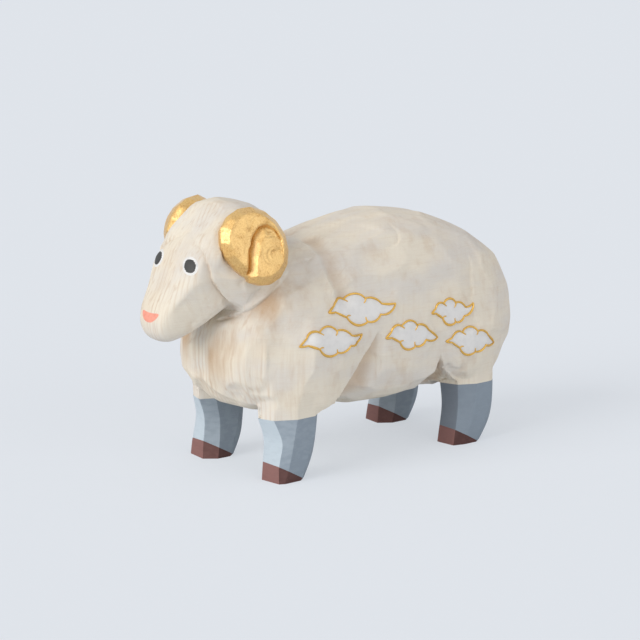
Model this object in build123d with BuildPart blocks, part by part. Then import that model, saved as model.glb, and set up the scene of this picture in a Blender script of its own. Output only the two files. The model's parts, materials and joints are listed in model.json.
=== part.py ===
# Sheep figurine: a carved and painted wooden ornament, glued up from blocks.
# X runs across the sheep, +X to its left. It looks along -Y and stands on Z = 0.

from math import atan2, cos, degrees, radians, sin
import os

from build123d import *

# Driving dimensions of the torso, mm
back_height = 64.0
torso_width = 46.0
torso_length = 101.5
chest_to_origin = 43.6
seat_height = 16.5

# Legs and hooves
leg_set_in = 2.7
leg_width = 10.0
front_leg_depth = 15.0
rear_leg_depth = 16.0
front_leg_from_chest = 9.3
rear_leg_from_rump = 16.2
hoof_height = 5.0
hoof_length = 9.0

# Neck joint between torso and head
neck_angle = 42.0
neck_from_chest = 13.0
neck_below_back = 13.6

# Head
skull_length = 20.9
skull_depth = 24.5
skull_width = 25.6
face_angle = 50.2
face_length = 27.5
face_depth = 20.6
face_width = 22.4
face_ahead_of_neck = 10.0
face_above_neck = 4.6

# Horns
horn_height = 20.4
horn_width = 18.3
horn_thickness = 5.0
horn_seat_depth = 2.5
horn_turn = 15.0
horn_lean = 16.0
horn_set_in = 0.9
horn_ahead_of_neck = 4.8
horn_above_neck = 10.6
horn_groove_width = 1.9
horn_groove_depth = 1.7

# Dowels and the play around them
neck_dowel_diameter = 8.0
neck_dowel_length = 22.0
horn_dowel_diameter = 3.0
horn_dowel_in_horn = 3.0
horn_dowel_in_head = 6.5
leg_dowel_diameter = 4.0
leg_dowel_length = 16.0
dowel_clearance = 0.1
dowel_end_clearance = 0.4

# Raised gesso and lacquer spots on the wood
eye_diameter = 4.9
pupil_diameter = 3.7
eye_out = 6.85
eye_along_face = 6.13
eye_above_face_axis = 8.10
eye_turn = 19.0
eye_tilt = 18.0
eye_relief = 0.25
pupil_relief = 0.15
nose_width = 7.4
nose_height = 3.0
nose_along_face = 20.69
nose_above_face_axis = 3.44
nose_tilt = 18.0
nose_relief = 0.2
cloud_relief = 0.25
line_relief = 0.4
line_width = 0.55

# Reach of tools that cut past a surface
overrun = 5.0

# One half of a ring, from the top round to the bottom, as shares of width and height
torso_ring_shares = [
    (0.28, 1.00), (0.60, 0.90), (0.84, 0.63), (0.97, 0.24),
    (1.00, -0.12), (0.93, -0.47), (0.75, -0.79), (0.40, -0.99),
]
belly_ring_shares = [
    (0.30, 1.00), (0.72, 0.86), (0.97, 0.40), (1.00, 0.00),
    (0.95, -0.42), (0.80, -0.76), (0.50, -0.96), (0.18, -1.00),
]
skull_ring_shares = [
    (0.33, 1.00), (0.70, 0.88), (0.94, 0.64), (1.00, 0.36), (0.98, 0.14), (0.84, 0.00),
]
face_ring_shares = [
    (0.00, 1.00), (0.58, 0.97), (0.92, 0.90), (1.00, 0.64),
    (0.95, 0.30), (0.74, 0.08), (0.34, 0.00),
]

# Rings of the torso from chest to rump: station, bottom, top and half width, as shares
# of the torso's length, the back's height, the back's height and half the torso's width
torso_station_shares = [
    (0.000, 0.410, 0.560, 0.22),
    (0.030, 0.345, 0.670, 0.54),
    (0.080, 0.285, 0.800, 0.76),
    (0.170, 0.255, 0.880, 0.87),
    (0.285, 0.235, 0.918, 0.92),
    (0.425, 0.222, 0.970, 0.95),
    (0.500, 0.217, 0.993, 0.97),
    (0.580, 0.215, 1.000, 0.98),
    (0.700, 0.228, 0.970, 0.98),
    (0.815, 0.265, 0.898, 0.95),
    (0.905, 0.325, 0.805, 0.80),
    (0.970, 0.415, 0.700, 0.46),
    (1.000, 0.490, 0.630, 0.22),
]
torso_waist_share = 0.41

belly_station_shares = [
    (0.290, 0.250, 0.620, 0.84),
    (0.400, 0.210, 0.640, 0.92),
    (0.520, 0.204, 0.640, 0.945),
    (0.622, 0.225, 0.620, 0.93),
]
belly_waist_share = 0.45

# Outlines of a leg block, a foot, a shoulder and a haunch seen from above, counted from
# the inner front corner, as shares of width and depth
leg_ring_shares = [
    (0.22, 0.00), (0.75, 0.13), (1.00, 0.48), (0.98, 0.88),
    (0.82, 1.00), (0.20, 1.00), (0.00, 0.78), (0.00, 0.28),
]
foot_ring_shares = [
    (0.26, 0.00), (0.90, 0.06), (1.00, 0.30), (1.00, 0.74),
    (0.80, 1.00), (0.20, 1.00), (0.00, 0.74), (0.00, 0.32),
]
shoulder_ring_shares = [
    (0.30, 0.00), (0.68, 0.10), (1.00, 0.44), (0.99, 0.84),
    (0.86, 1.00), (0.20, 1.00), (0.00, 0.70), (0.00, 0.30),
]
haunch_ring_shares = [
    (0.20, 0.00), (0.88, 0.00), (1.00, 0.22), (0.98, 0.58),
    (0.70, 0.90), (0.26, 1.00), (0.00, 0.78), (0.00, 0.28),
]

# Levels of a leg, as shares of the seat height, and of a shoulder or haunch, as shares of
# the height from the seat to the back: height, inner side, outer side, front and rear.
# Sides are shares of the leg's width and depth.
front_leg_shares = [
    (0.00, 0.01, 0.96, 0.09, 0.74, foot_ring_shares),
    (0.27, 0.02, 0.97, 0.11, 0.92, foot_ring_shares),
    (0.62, 0.05, 0.99, 0.15, 0.97, leg_ring_shares),
    (1.00, 0.05, 1.01, 0.01, 1.00, leg_ring_shares),
]
rear_leg_shares = [
    (0.00, 0.00, 0.92, 0.09, 0.80, foot_ring_shares),
    (0.25, 0.01, 0.93, 0.12, 1.00, foot_ring_shares),
    (0.62, 0.03, 0.97, 0.18, 1.05, leg_ring_shares),
    (1.00, 0.05, 0.99, 0.13, 1.01, leg_ring_shares),
]
shoulder_shares = [
    (0.00, 0.05, 1.01, 0.01, 1.00, leg_ring_shares),
    (0.06, -0.03, 1.09, -0.07, 1.54, shoulder_ring_shares),
    (0.19, -0.13, 1.17, -0.11, 1.73, shoulder_ring_shares),
    (0.34, -0.33, 1.23, -0.16, 1.96, shoulder_ring_shares),
    (0.46, -0.33, 1.14, -0.05, 1.98, shoulder_ring_shares),
    (0.63, -0.33, 0.64, 0.16, 1.68, shoulder_ring_shares),
]
haunch_shares = [
    (0.00, 0.05, 0.99, 0.13, 1.01, leg_ring_shares),
    (0.10, -0.13, 1.10, -0.13, 1.30, haunch_ring_shares),
    (0.19, -0.23, 1.19, -0.31, 1.47, haunch_ring_shares),
    (0.25, -0.33, 1.25, -0.39, 1.61, haunch_ring_shares),
    (0.38, -0.33, 1.27, -0.25, 1.62, haunch_ring_shares),
    (0.54, -0.33, 0.98, 0.02, 1.30, haunch_ring_shares),
]

# Rings of the skull from the neck joint upwards: station along the joint's normal,
# front, rear and half width, as shares of the skull's length, depth and half width
skull_station_shares = [
    (0.00, -0.37, 0.51, 0.97),
    (0.24, -0.43, 0.62, 1.02),
    (0.50, -0.43, 0.64, 1.02),
    (0.72, -0.37, 0.57, 0.98),
    (0.89, -0.24, 0.47, 0.87),
    (1.00, -0.07, 0.33, 0.66),
]

# Rings of the face from inside the skull to the muzzle: station, bottom, top and half
# width, as shares of the face's length, depth, depth and half width
face_station_shares = [
    (-0.150, -0.44, 0.50, 0.92),
    (-0.020, -0.47, 0.51, 0.98),
    (0.150, -0.44, 0.48, 1.00),
    (0.270, -0.42, 0.42, 0.94),
    (0.470, -0.385, 0.31, 0.76),
    (0.660, -0.32, 0.245, 0.59),
    (0.790, -0.24, 0.14, 0.46),
    (0.850, -0.14, 0.01, 0.31),
]

# Tail, low on the rump: height, half width and how far it stands out, as shares of the
# back's height and of the tail's width and relief
tail_width = 7.0
tail_relief = 2.2
tail_shares = [
    (0.48, 0.45, -0.40), (0.53, 0.85, 0.70), (0.60, 1.00, 0.90), (0.66, 0.90, 0.50),
    (0.71, 0.60, -1.00),
]

# Rim of a horn, from the tip of its outer turn round over the top, and the groove
# between its turns, as shares of half the horn's width and height
horn_rim_shares = [
    (-0.38, -0.72), (-0.64, -0.52), (-0.88, -0.22), (-1.00, 0.14), (-0.94, 0.50),
    (-0.70, 0.80), (-0.36, 0.97), (0.05, 1.00), (0.42, 0.87), (0.74, 0.60),
    (0.95, 0.24), (1.00, -0.16), (0.92, -0.52), (0.68, -0.82), (0.35, -0.97),
    (0.02, -0.97), (-0.26, -0.88), (-0.30, -0.74),
]
horn_seat_share = 0.86
horn_level_shares = [(0.10, 0.97), (0.52, 1.00), (1.00, 0.80)]
horn_groove_shares = [
    (-0.36, -0.82, 1.0), (-0.29, -0.50, 1.0), (-0.23, -0.14, 1.0), (-0.10, 0.22, 0.9),
    (0.12, 0.46, 0.8), (0.36, 0.50, 0.65), (0.58, 0.36, 0.45), (0.70, 0.08, 0.2),
]
groove_bank_share = 0.2

# Clouds: where each stands along the torso and up the flank, its size, and how high the
# wisps at its front and rear end, as shares of the torso's length, the back's height,
# the cloud's length and height, and half its height
cloud_length = 20.3
cloud_height = 8.0
cloud_place_shares = [
    (0.373, 0.664, 1.04, 1.00, 0.10, 0.08),
    (0.267, 0.560, 0.98, 0.94, -0.08, 0.10),
    (0.528, 0.529, 0.86, 0.97, 0.05, -0.50),
    (0.667, 0.596, 0.73, 0.88, 0.15, 0.38),
    (0.733, 0.460, 0.90, 0.96, 0.25, -0.55),
]

# Outline of a cloud, from the front wisp over the top and back below: the middle and the
# end of each arc, as shares of half its length and height
cloud_arc_shares = [
    (-0.84, 0.06, -0.72, 0.18),
    (-0.62, 0.62, -0.36, 0.52),
    (-0.12, 1.00, 0.14, 0.52),
    (0.38, 0.70, 0.54, 0.34),
    (0.74, 0.22, 1.00, 0.00),
    (0.85, -0.10, 0.62, -0.26),
    (0.46, -0.70, 0.20, -0.66),
    (-0.02, -1.00, -0.26, -0.66),
    (-0.46, -0.66, -0.56, -0.30),
    (-0.74, -0.24, -1.00, 0.00),
]
cloud_rear_arc = 4
wisp_follow_share = 0.7
cloud_tick_arcs = (1, 2, 3, 6, 7)
tick_length = 1.3
tick_width = 0.35

# Nose patch, as shares of half its width and height
nose_outline_shares = [
    (-1.00, 0.80), (-0.80, 1.00), (-0.35, 0.72), (0.35, 0.72), (0.80, 1.00),
    (1.00, 0.80), (0.72, -0.35), (0.30, -1.00), (-0.30, -1.00), (-0.72, -0.35),
]

leg_inset = torso_width / 2 - leg_set_in - leg_width


def mirrored_ring(ring_shares):
    """Both halves of a ring, running once round it."""
    other_half = [(-x, z) for x, z in reversed(ring_shares) if x]
    return ring_shares + other_half


def faceted_loft(outlines):
    """A block with flat chisel cuts through closed outlines, each a plane and its points."""
    with BuildPart() as block:
        for plane, points in outlines:
            with BuildSketch(plane):
                with BuildLine():
                    Polyline(*points, close=True)
                make_face()
        loft(ruled=True)
    return block.part


def loft_along_torso(station_shares, waist_share, ring_shares):
    """A block through rings that stand across the torso."""
    outlines = []
    for along, bottom, top, half_width in station_shares:
        low, high = bottom * back_height, top * back_height
        waist = low + waist_share * (high - low)
        points = []
        for x, z in mirrored_ring(ring_shares):
            reach = high - waist if z > 0 else waist - low
            points.append((x * half_width * torso_width / 2, waist + z * reach))
        station = Plane.XZ.offset(chest_to_origin - along * torso_length)
        outlines.append((station, points))
    return faceted_loft(outlines)


def loft_up_block(level_shares, base, height, front, depth):
    """A block through level outlines of a leg, shoulder or haunch."""
    outlines = []
    for level, inner, outer, near, far, ring_shares in level_shares:
        points = []
        for x, y in ring_shares:
            across = leg_inset + (inner + x * (outer - inner)) * leg_width
            points.append((across, front + (near + y * (far - near)) * depth))
        outlines.append((Plane.XY.offset(base + level * height), points))
    return faceted_loft(outlines)


def loft_rings(plane, station_shares, ring_shares, length, depth, width):
    """A block through rings along a plane's normal."""
    outlines = []
    for along, low, high, half_width in station_shares:
        points = [
            (x * half_width * width / 2, (low + v * (high - low)) * depth)
            for x, v in mirrored_ring(ring_shares)
        ]
        outlines.append((plane.offset(along * length), points))
    return faceted_loft(outlines)


def rod(plane, diameter, below, above):
    """A round rod that runs through a plane."""
    with BuildPart() as round_rod:
        with BuildSketch(plane.offset(-below)):
            Circle(diameter / 2)
        extrude(amount=below + above)
    return round_rod.part


def dowel_hole(plane, diameter, depth):
    """A blind hole for a dowel, from a plane against its normal."""
    return rod(plane, diameter + 2 * dowel_clearance, depth + dowel_end_clearance, 0)


# Planes of the joints
neck_forward = chest_to_origin - neck_from_chest
neck_height = back_height - neck_below_back
neck_plane = Plane(
    origin=(0, -neck_forward, neck_height),
    x_dir=(1, 0, 0),
    z_dir=(0, -sin(radians(neck_angle)), cos(radians(neck_angle))),
)
face_plane = Plane(
    origin=(0, -neck_forward - face_ahead_of_neck, neck_height + face_above_neck),
    x_dir=(1, 0, 0),
    z_dir=(0, -sin(radians(face_angle)), -cos(radians(face_angle))),
)
horn_plane = Plane(
    origin=(
        skull_width / 2 - horn_set_in,
        -neck_forward - horn_ahead_of_neck,
        neck_height + horn_above_neck,
    ),
    x_dir=(sin(radians(horn_turn)), cos(radians(horn_turn)), 0),
    z_dir=(
        cos(radians(horn_turn)) * cos(radians(horn_lean)),
        -sin(radians(horn_turn)) * cos(radians(horn_lean)),
        sin(radians(horn_lean)),
    ),
)
eye_plane = Plane(
    origin=face_plane.from_local_coords((eye_out, eye_above_face_axis, eye_along_face)),
    x_dir=(cos(radians(eye_turn)), sin(radians(eye_turn)), 0),
    z_dir=(
        sin(radians(eye_turn)) * cos(radians(eye_tilt)),
        -cos(radians(eye_turn)) * cos(radians(eye_tilt)),
        sin(radians(eye_tilt)),
    ),
)
nose_plane = Plane(
    origin=face_plane.from_local_coords((0, nose_above_face_axis, nose_along_face)),
    x_dir=(1, 0, 0),
    z_dir=(0, -cos(radians(nose_tilt)), sin(radians(nose_tilt))),
)


def leg_seat(front, depth):
    """The plane where a left leg meets the torso, facing down."""
    centre = (leg_inset + leg_width / 2, front + depth / 2, seat_height)
    return Plane(origin=centre, x_dir=(1, 0, 0), z_dir=(0, 0, -1))


def tail_block():
    """A short flat tail against the rump."""
    outlines = []
    rump = torso_length - chest_to_origin
    for height, half_width, stands_out in tail_shares:
        side, back = half_width * tail_width / 2, rump + stands_out * tail_relief
        points = [
            (-side, rump - overrun), (-side, back - tail_relief), (-side / 2, back),
            (side / 2, back), (side, back - tail_relief), (side, rump - overrun),
        ]
        outlines.append((Plane.XY.offset(height * back_height), points))
    return faceted_loft(outlines)


def cloud_shapes(place):
    """The flat fill of one cloud and the line round it, with its inward ticks."""
    along, up, length, height, front_tip, rear_tip = place
    half_length, half_height = length * cloud_length / 2, height * cloud_height / 2
    centre = Vector(along * torso_length - chest_to_origin, up * back_height)
    arcs = list(cloud_arc_shares)
    for arc, tip in ((0, front_tip), (-1, front_tip), (cloud_rear_arc + 1, rear_tip)):
        x, z, end_x, end_z = arcs[arc]
        arcs[arc] = (x, z + tip * wisp_follow_share, end_x, end_z)
    arcs[cloud_rear_arc] = (*arcs[cloud_rear_arc][:2], 1, rear_tip)
    arcs[-1] = (*arcs[-1][:2], -1, front_tip)
    corners = [
        [centre + Vector(x * half_length, z * half_height) for x, z in (arc[:2], arc[2:])]
        for arc in arcs
    ]
    with BuildSketch(mode=Mode.PRIVATE) as outline:
        with BuildLine():
            start = corners[-1][1]
            for middle, end in corners:
                ThreePointArc(start, middle, end)
                start = end
        make_face()
    inside = offset(outline.sketch, -line_width / 2, kind=Kind.ARC, mode=Mode.PRIVATE)
    outside = offset(outline.sketch, line_width / 2, kind=Kind.ARC, mode=Mode.PRIVATE)
    with BuildSketch(mode=Mode.PRIVATE) as ticks:
        for index in cloud_tick_arcs:
            corner = corners[index][1]
            inward = centre - corner
            turn = degrees(atan2(inward.Y, inward.X))
            with Locations(Location(corner, (0, 0, turn))):
                Rectangle(tick_length, tick_width, align=(Align.MIN, Align.CENTER))
    with BuildSketch(mode=Mode.PRIVATE) as fill:
        add(inside)
        add(ticks.sketch, mode=Mode.SUBTRACT)
    with BuildSketch(mode=Mode.PRIVATE) as line:
        add(outside)
        add(fill.sketch, mode=Mode.SUBTRACT)
    return fill.sketch, line.sketch


def horn_coil():
    """The left horn's block: its rim, bevelled towards the outer face."""
    levels = [(level * horn_thickness, size) for level, size in horn_level_shares]
    outlines = []
    for level, size in [(-horn_seat_depth, horn_seat_share), *levels]:
        half_width, half_height = size * horn_width / 2, size * horn_height / 2
        rim = [(x * half_width, z * half_height) for x, z in horn_rim_shares]
        outlines.append((horn_plane.offset(level), rim))
    return faceted_loft(outlines)


def horn_groove():
    """A groove along the left horn's spiral: steep on its outer bank, sloping inside."""
    path = [
        Vector(x * horn_width / 2, z * horn_height / 2, horn_thickness)
        for x, z, size in horn_groove_shares
    ]
    outlines = []
    for index, (x, z, size) in enumerate(horn_groove_shares):
        along = path[min(index + 1, len(path) - 1)] - path[max(index - 1, 0)]
        inward = Vector(along.Y, -along.X, 0)
        spot = Plane(origin=path[index], x_dir=inward, z_dir=along)
        spot = horn_plane.location * spot.location
        bank, width, depth = [
            size * share for share in
            (groove_bank_share * horn_groove_width, horn_groove_width, horn_groove_depth)
        ]
        outlines.append((Plane(spot), [(-2 * bank, -depth), (0, depth), (2 * width, -depth)]))
    return faceted_loft(outlines)


def relief(sketch_plane, sketch, wood, direction, start, thickness):
    """A raised coat on the wood under a sketch, between two shifts along a direction."""
    with BuildPart() as coat:
        with BuildSketch(sketch_plane.offset(-overrun)):
            add(sketch)
        extrude(amount=2 * overrun)
        add(wood.moved(Location(direction * (start + thickness))), mode=Mode.INTERSECT)
        add(wood.moved(Location(direction * start)), mode=Mode.SUBTRACT)
    return coat.part


def opposite(plane):
    """The same plane, facing the other way."""
    return Plane(origin=plane.origin, x_dir=plane.x_dir, z_dir=-plane.z_dir)


def both_sides(part):
    """A piece of the left side and its mirror image."""
    return [part, mirror(part, about=Plane.YZ, mode=Mode.PRIVATE)]


def save(name, part):
    """Writes one piece under its name."""
    part.label = name
    export_step(part, f"parts/{name}.step")


def save_pair(name, part):
    """Writes a piece of the left side and its mirror image."""
    for side, piece in zip(("left", "right"), both_sides(part)):
        save(f"{name}_{side}", piece)


os.makedirs("parts", exist_ok=True)

front_leg_front = front_leg_from_chest - chest_to_origin
rear_leg_front = torso_length - chest_to_origin - rear_leg_from_rump - rear_leg_depth
leg_boxes = {
    "front": (front_leg_front, front_leg_depth, front_leg_shares, shoulder_shares),
    "rear": (rear_leg_front, rear_leg_depth, rear_leg_shares, haunch_shares),
}

# Torso: a barrel with belly, tail, shoulders and haunches, cut flat for the head
with BuildPart() as torso:
    add(loft_along_torso(torso_station_shares, torso_waist_share, torso_ring_shares))
    add(loft_along_torso(belly_station_shares, belly_waist_share, belly_ring_shares))
    add(tail_block())
    for front, depth, leg_shares, joint_shares in leg_boxes.values():
        lump = loft_up_block(joint_shares, seat_height, back_height - seat_height, front, depth)
        for side in both_sides(lump):
            add(side)
    split(bisect_by=neck_plane, keep=Keep.BOTTOM)
    add(dowel_hole(neck_plane, neck_dowel_diameter, neck_dowel_length / 2), mode=Mode.SUBTRACT)
    for front, depth, leg_shares, joint_shares in leg_boxes.values():
        seat = leg_seat(front, depth)
        for side in both_sides(dowel_hole(seat, leg_dowel_diameter, leg_dowel_length / 2)):
            add(side, mode=Mode.SUBTRACT)
save("torso", torso.part)

with BuildPart() as neck_dowel:
    add(rod(neck_plane, neck_dowel_diameter, neck_dowel_length / 2, neck_dowel_length / 2))
save("neck_dowel", neck_dowel.part)

# Legs and hooves: one block each, sawn apart along the slanting top of the hoof
for name, (front, depth, leg_shares, joint_shares) in leg_boxes.items():
    seat = leg_seat(front, depth)
    toe = front + leg_shares[0][3] * depth
    hoof_plane = Plane(
        origin=(leg_inset, toe, hoof_height), x_dir=(1, 0, 0), z_dir=(0, hoof_height, hoof_length)
    )
    block = loft_up_block(leg_shares, 0, seat_height, front, depth)
    hole = dowel_hole(opposite(seat), leg_dowel_diameter, leg_dowel_length / 2)
    with BuildPart() as leg:
        add(block)
        split(bisect_by=hoof_plane, keep=Keep.TOP)
        add(hole, mode=Mode.SUBTRACT)
    with BuildPart() as hoof:
        add(block)
        split(bisect_by=hoof_plane, keep=Keep.BOTTOM)
    save_pair(f"leg_{name}", leg.part)
    save_pair(f"hoof_{name}", hoof.part)
    save_pair(
        f"leg_dowel_{name}",
        rod(seat, leg_dowel_diameter, leg_dowel_length / 2, leg_dowel_length / 2),
    )

# Horn: a bevelled coil with a groove between its turns
with BuildPart() as horn:
    add(horn_coil())
    add(horn_groove(), mode=Mode.SUBTRACT)
    seat = opposite(horn_plane.offset(-horn_seat_depth))
    hole = dowel_hole(seat, horn_dowel_diameter, horn_seat_depth + horn_dowel_in_horn)
    add(hole, mode=Mode.SUBTRACT)
save_pair("horn", horn.part)
save_pair(
    "horn_dowel", rod(horn_plane, horn_dowel_diameter, horn_dowel_in_head, horn_dowel_in_horn)
)

# Head: skull and face, cut flat for the torso and let in for the horns
with BuildPart() as head:
    add(
        loft_rings(
            neck_plane, skull_station_shares, skull_ring_shares,
            skull_length, skull_depth, skull_width,
        )
    )
    add(
        loft_rings(
            face_plane, face_station_shares, face_ring_shares,
            face_length, face_depth, face_width,
        )
    )
    split(bisect_by=neck_plane, keep=Keep.TOP)
    hole = dowel_hole(opposite(neck_plane), neck_dowel_diameter, neck_dowel_length / 2)
    add(hole, mode=Mode.SUBTRACT)
    for side in both_sides(horn_coil()):
        add(side, mode=Mode.SUBTRACT)
    hole = dowel_hole(horn_plane, horn_dowel_diameter, horn_dowel_in_head)
    for side in both_sides(hole):
        add(side, mode=Mode.SUBTRACT)
save("head", head.part)

# Eyes: a white spot with a black one on it
with BuildSketch() as eye_spot:
    Circle(eye_diameter / 2)
with BuildSketch() as pupil_spot:
    Circle(pupil_diameter / 2)
eye_normal = eye_plane.z_dir
save_pair("eye_white", relief(eye_plane, eye_spot.sketch, head.part, eye_normal, 0, eye_relief))
save_pair(
    "pupil",
    relief(eye_plane, pupil_spot.sketch, head.part, eye_normal, eye_relief, pupil_relief),
)

# Nose: a rounded triangle
with BuildSketch() as nose_spot:
    with BuildLine():
        Polyline(
            *[(x * nose_width / 2, z * nose_height / 2) for x, z in nose_outline_shares],
            close=True,
        )
    make_face()
save("nose", relief(nose_plane, nose_spot.sketch, head.part, nose_plane.z_dir, 0, nose_relief))

# Clouds on both flanks: a white gesso fill with a raised gold line round it
cloud_plane = Plane.YZ.offset(torso_width / 2)
with BuildSketch() as cloud_fills:
    for place in cloud_place_shares:
        add(cloud_shapes(place)[0])
with BuildSketch() as cloud_lines:
    for place in cloud_place_shares:
        add(cloud_shapes(place)[1])
side_normal = cloud_plane.z_dir
fills = relief(cloud_plane, cloud_fills.sketch, torso.part, side_normal, 0, cloud_relief)
lines = relief(cloud_plane, cloud_lines.sketch, torso.part, side_normal, 0, line_relief)
save_pair("cloud_fill", fills)
save_pair("cloud_line", lines)
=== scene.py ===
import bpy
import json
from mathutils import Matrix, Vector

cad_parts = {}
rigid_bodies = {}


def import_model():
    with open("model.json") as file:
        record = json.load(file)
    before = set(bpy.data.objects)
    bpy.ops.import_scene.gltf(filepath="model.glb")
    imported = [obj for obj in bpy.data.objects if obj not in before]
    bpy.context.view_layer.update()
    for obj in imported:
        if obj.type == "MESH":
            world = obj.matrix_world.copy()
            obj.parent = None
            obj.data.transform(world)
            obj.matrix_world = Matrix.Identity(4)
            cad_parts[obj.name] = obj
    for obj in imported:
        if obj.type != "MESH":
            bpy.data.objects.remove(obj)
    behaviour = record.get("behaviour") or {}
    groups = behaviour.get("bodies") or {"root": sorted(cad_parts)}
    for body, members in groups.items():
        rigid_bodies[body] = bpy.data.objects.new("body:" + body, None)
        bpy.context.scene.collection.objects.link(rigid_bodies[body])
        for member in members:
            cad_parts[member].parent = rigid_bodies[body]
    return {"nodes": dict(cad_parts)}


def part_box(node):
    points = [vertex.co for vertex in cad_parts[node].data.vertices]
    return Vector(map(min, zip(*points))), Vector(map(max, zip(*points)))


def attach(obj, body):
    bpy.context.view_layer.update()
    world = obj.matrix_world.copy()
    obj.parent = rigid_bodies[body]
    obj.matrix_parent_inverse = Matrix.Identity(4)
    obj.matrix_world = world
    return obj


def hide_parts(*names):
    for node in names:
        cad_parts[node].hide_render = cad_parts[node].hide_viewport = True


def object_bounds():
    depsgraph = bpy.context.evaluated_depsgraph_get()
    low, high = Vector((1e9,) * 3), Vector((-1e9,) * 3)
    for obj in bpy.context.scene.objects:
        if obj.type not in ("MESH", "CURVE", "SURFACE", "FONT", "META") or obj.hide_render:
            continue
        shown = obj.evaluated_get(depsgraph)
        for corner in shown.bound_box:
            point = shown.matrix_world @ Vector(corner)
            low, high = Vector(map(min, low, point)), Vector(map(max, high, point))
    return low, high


bl_info = {
    "name": "Carved Sheep Figurine",
    "version": (1, 0, 0),
    "blender": (4, 5, 0),
    "location": "View3D > Sidebar > Sheep",
    "description": "Carves, paints and gilds a wooden sheep round its packed frame",
    "category": "Object",
}

from contextlib import contextmanager
import json
from math import atan2, cos, pi, radians, sin
import random

import bpy
import numpy as np
from mathutils import Vector

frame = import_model()
CAD_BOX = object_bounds()

MM = 0.001
SIDES = {"left": 1, "right": -1}
LEGS = ("front", "rear")
AHEAD = (0, -1, 0)

# Neck joint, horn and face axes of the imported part, in millimetres and degrees
NECK_POINT = (0, -30.6, 50.4)
NECK_ANGLE = 42.0
HORN_POINT = (11.9, -35.4, 61.0)
HORN_TURN = 15.0
HORN_LEAN = 16.0
HORN_THICKNESS = 5.0
HORN_HALF_WIDTH = 9.15
HORN_HALF_HEIGHT = 10.2
SEAT_HEIGHT = 16.5
HOOF_HEIGHT = 5.0
HOOF_LENGTH = 9.0
EYE_TURN = 24
EYE_TILT = 4
NOSE_TILT = 18

# In millimetres: the height above which the body is rubbed round and gets broad cuts, the
# height at which the squared roots of the legs end, and the place along the sheep ahead of
# which the face has no broad cuts
ROOT_TOP = 18
ROOT_END = 23
FACE_REAR = -46

# Corners of a left leg block at some heights, seen from above, in millimetres: the inner
# front corner first, then round by the outer side
LEG_LEVELS = {
    "front": [
        (0.0, [(12.9, -33.0), (19.3, -32.3), (20.0, -30.8), (19.9, -25.7),
               (18.0, -23.3), (12.3, -23.3), (10.4, -25.8), (10.4, -29.8)]),
        (5.0, [(13.0, -32.7), (18.7, -32.1), (20.1, -29.2), (20.1, -23.6),
               (18.1, -20.6), (12.3, -20.6), (10.5, -23.8), (10.5, -29.0)]),
        (10.0, [(12.9, -32.1), (19.0, -30.4), (20.3, -28.2), (20.1, -21.3),
                (18.5, -19.9), (12.6, -19.9), (10.8, -22.4), (10.8, -28.6)]),
        (13.0, [(12.8, -32.7), (18.4, -31.3), (20.3, -27.7), (20.2, -21.0),
                (18.6, -19.6), (12.6, -19.6), (10.8, -22.4), (10.8, -29.2)]),
        (16.5, [(12.8, -34.1), (17.6, -32.6), (20.4, -27.0), (20.2, -21.1),
                (18.7, -19.3), (12.7, -19.3), (10.8, -22.6), (10.8, -30.0)]),
    ],
    "rear": [
        (0.0, [(12.7, 27.2), (18.6, 27.8), (19.5, 31.0), (19.5, 35.3),
               (17.6, 38.0), (12.1, 38.0), (10.3, 35.5), (10.3, 30.6)]),
        (5.0, [(12.9, 27.8), (18.6, 28.6), (19.7, 33.2), (19.7, 38.4),
               (17.9, 41.4), (12.2, 41.4), (10.4, 38.2), (10.4, 32.0)]),
        (10.5, [(13.0, 28.7), (17.8, 30.2), (20.0, 34.2), (19.8, 40.3),
                (18.2, 42.2), (12.4, 42.2), (10.6, 39.2), (10.6, 32.4)]),
        (16.5, [(12.9, 27.8), (17.9, 29.8), (20.2, 34.6), (20.0, 40.2),
                (18.5, 41.9), (12.7, 41.9), (10.8, 38.8), (10.8, 31.8)]),
    ],
}

# Ledges that the carver cut on the left side, all in millimetres: the line; the direction
# that it is laid on from; the side that the wood falls away to; how deep and how far it
# falls; and the share of the depth along the line
LEDGES = {
    "behind the shoulder": (
        [(20, -1.0, 36.0), (20, -2.6, 33.6), (20, -4.9, 30.4), (20, -8.2, 25.8),
         (20, -11.4, 22.2), (20, -15.0, 18.6)],
        (1, 0, 0), (0, 0.7, -0.7), 2.6, 8.5, (0.05, 0.4, 0.7, 0.95, 1.0, 1.0),
    ),
    "on the flank": (
        [(18, 33.8, 52.0), (20, 32.4, 46.7), (20, 32.0, 42.2), (20, 30.8, 39.5)],
        (1, 0, 0), (0, -1, 0), 0.40, 5.0, (0.0, 0.9, 1.0, 0.3),
    ),
    "under the back": (
        [(11, 11.3, 62.0), (15, 11.4, 58.2), (16, 9.0, 57.0), (16, 5.5, 56.8)],
        (0.8, 0, 0.6), (0, -0.4, 0.9), 0.28, 4.0, (0.2, 1.0, 1.0, 0.2),
    ),
    "under the cheek": (
        [(3, -39.4, 41.9), (8, -38.2, 43.4), (11, -36.3, 44.9), (13, -34.1, 46.4),
         (13, -31.2, 48.2), (13, -28.6, 50.0), (13, -25.5, 51.8), (12, -23.1, 53.7)],
        (0.9, -0.4, 0), (0, 0.5, -0.9), 0.85, 5.0, (0.4, 0.9, 1.0, 1.0, 0.9, 0.8, 0.5, 0.0),
    ),
}
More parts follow.
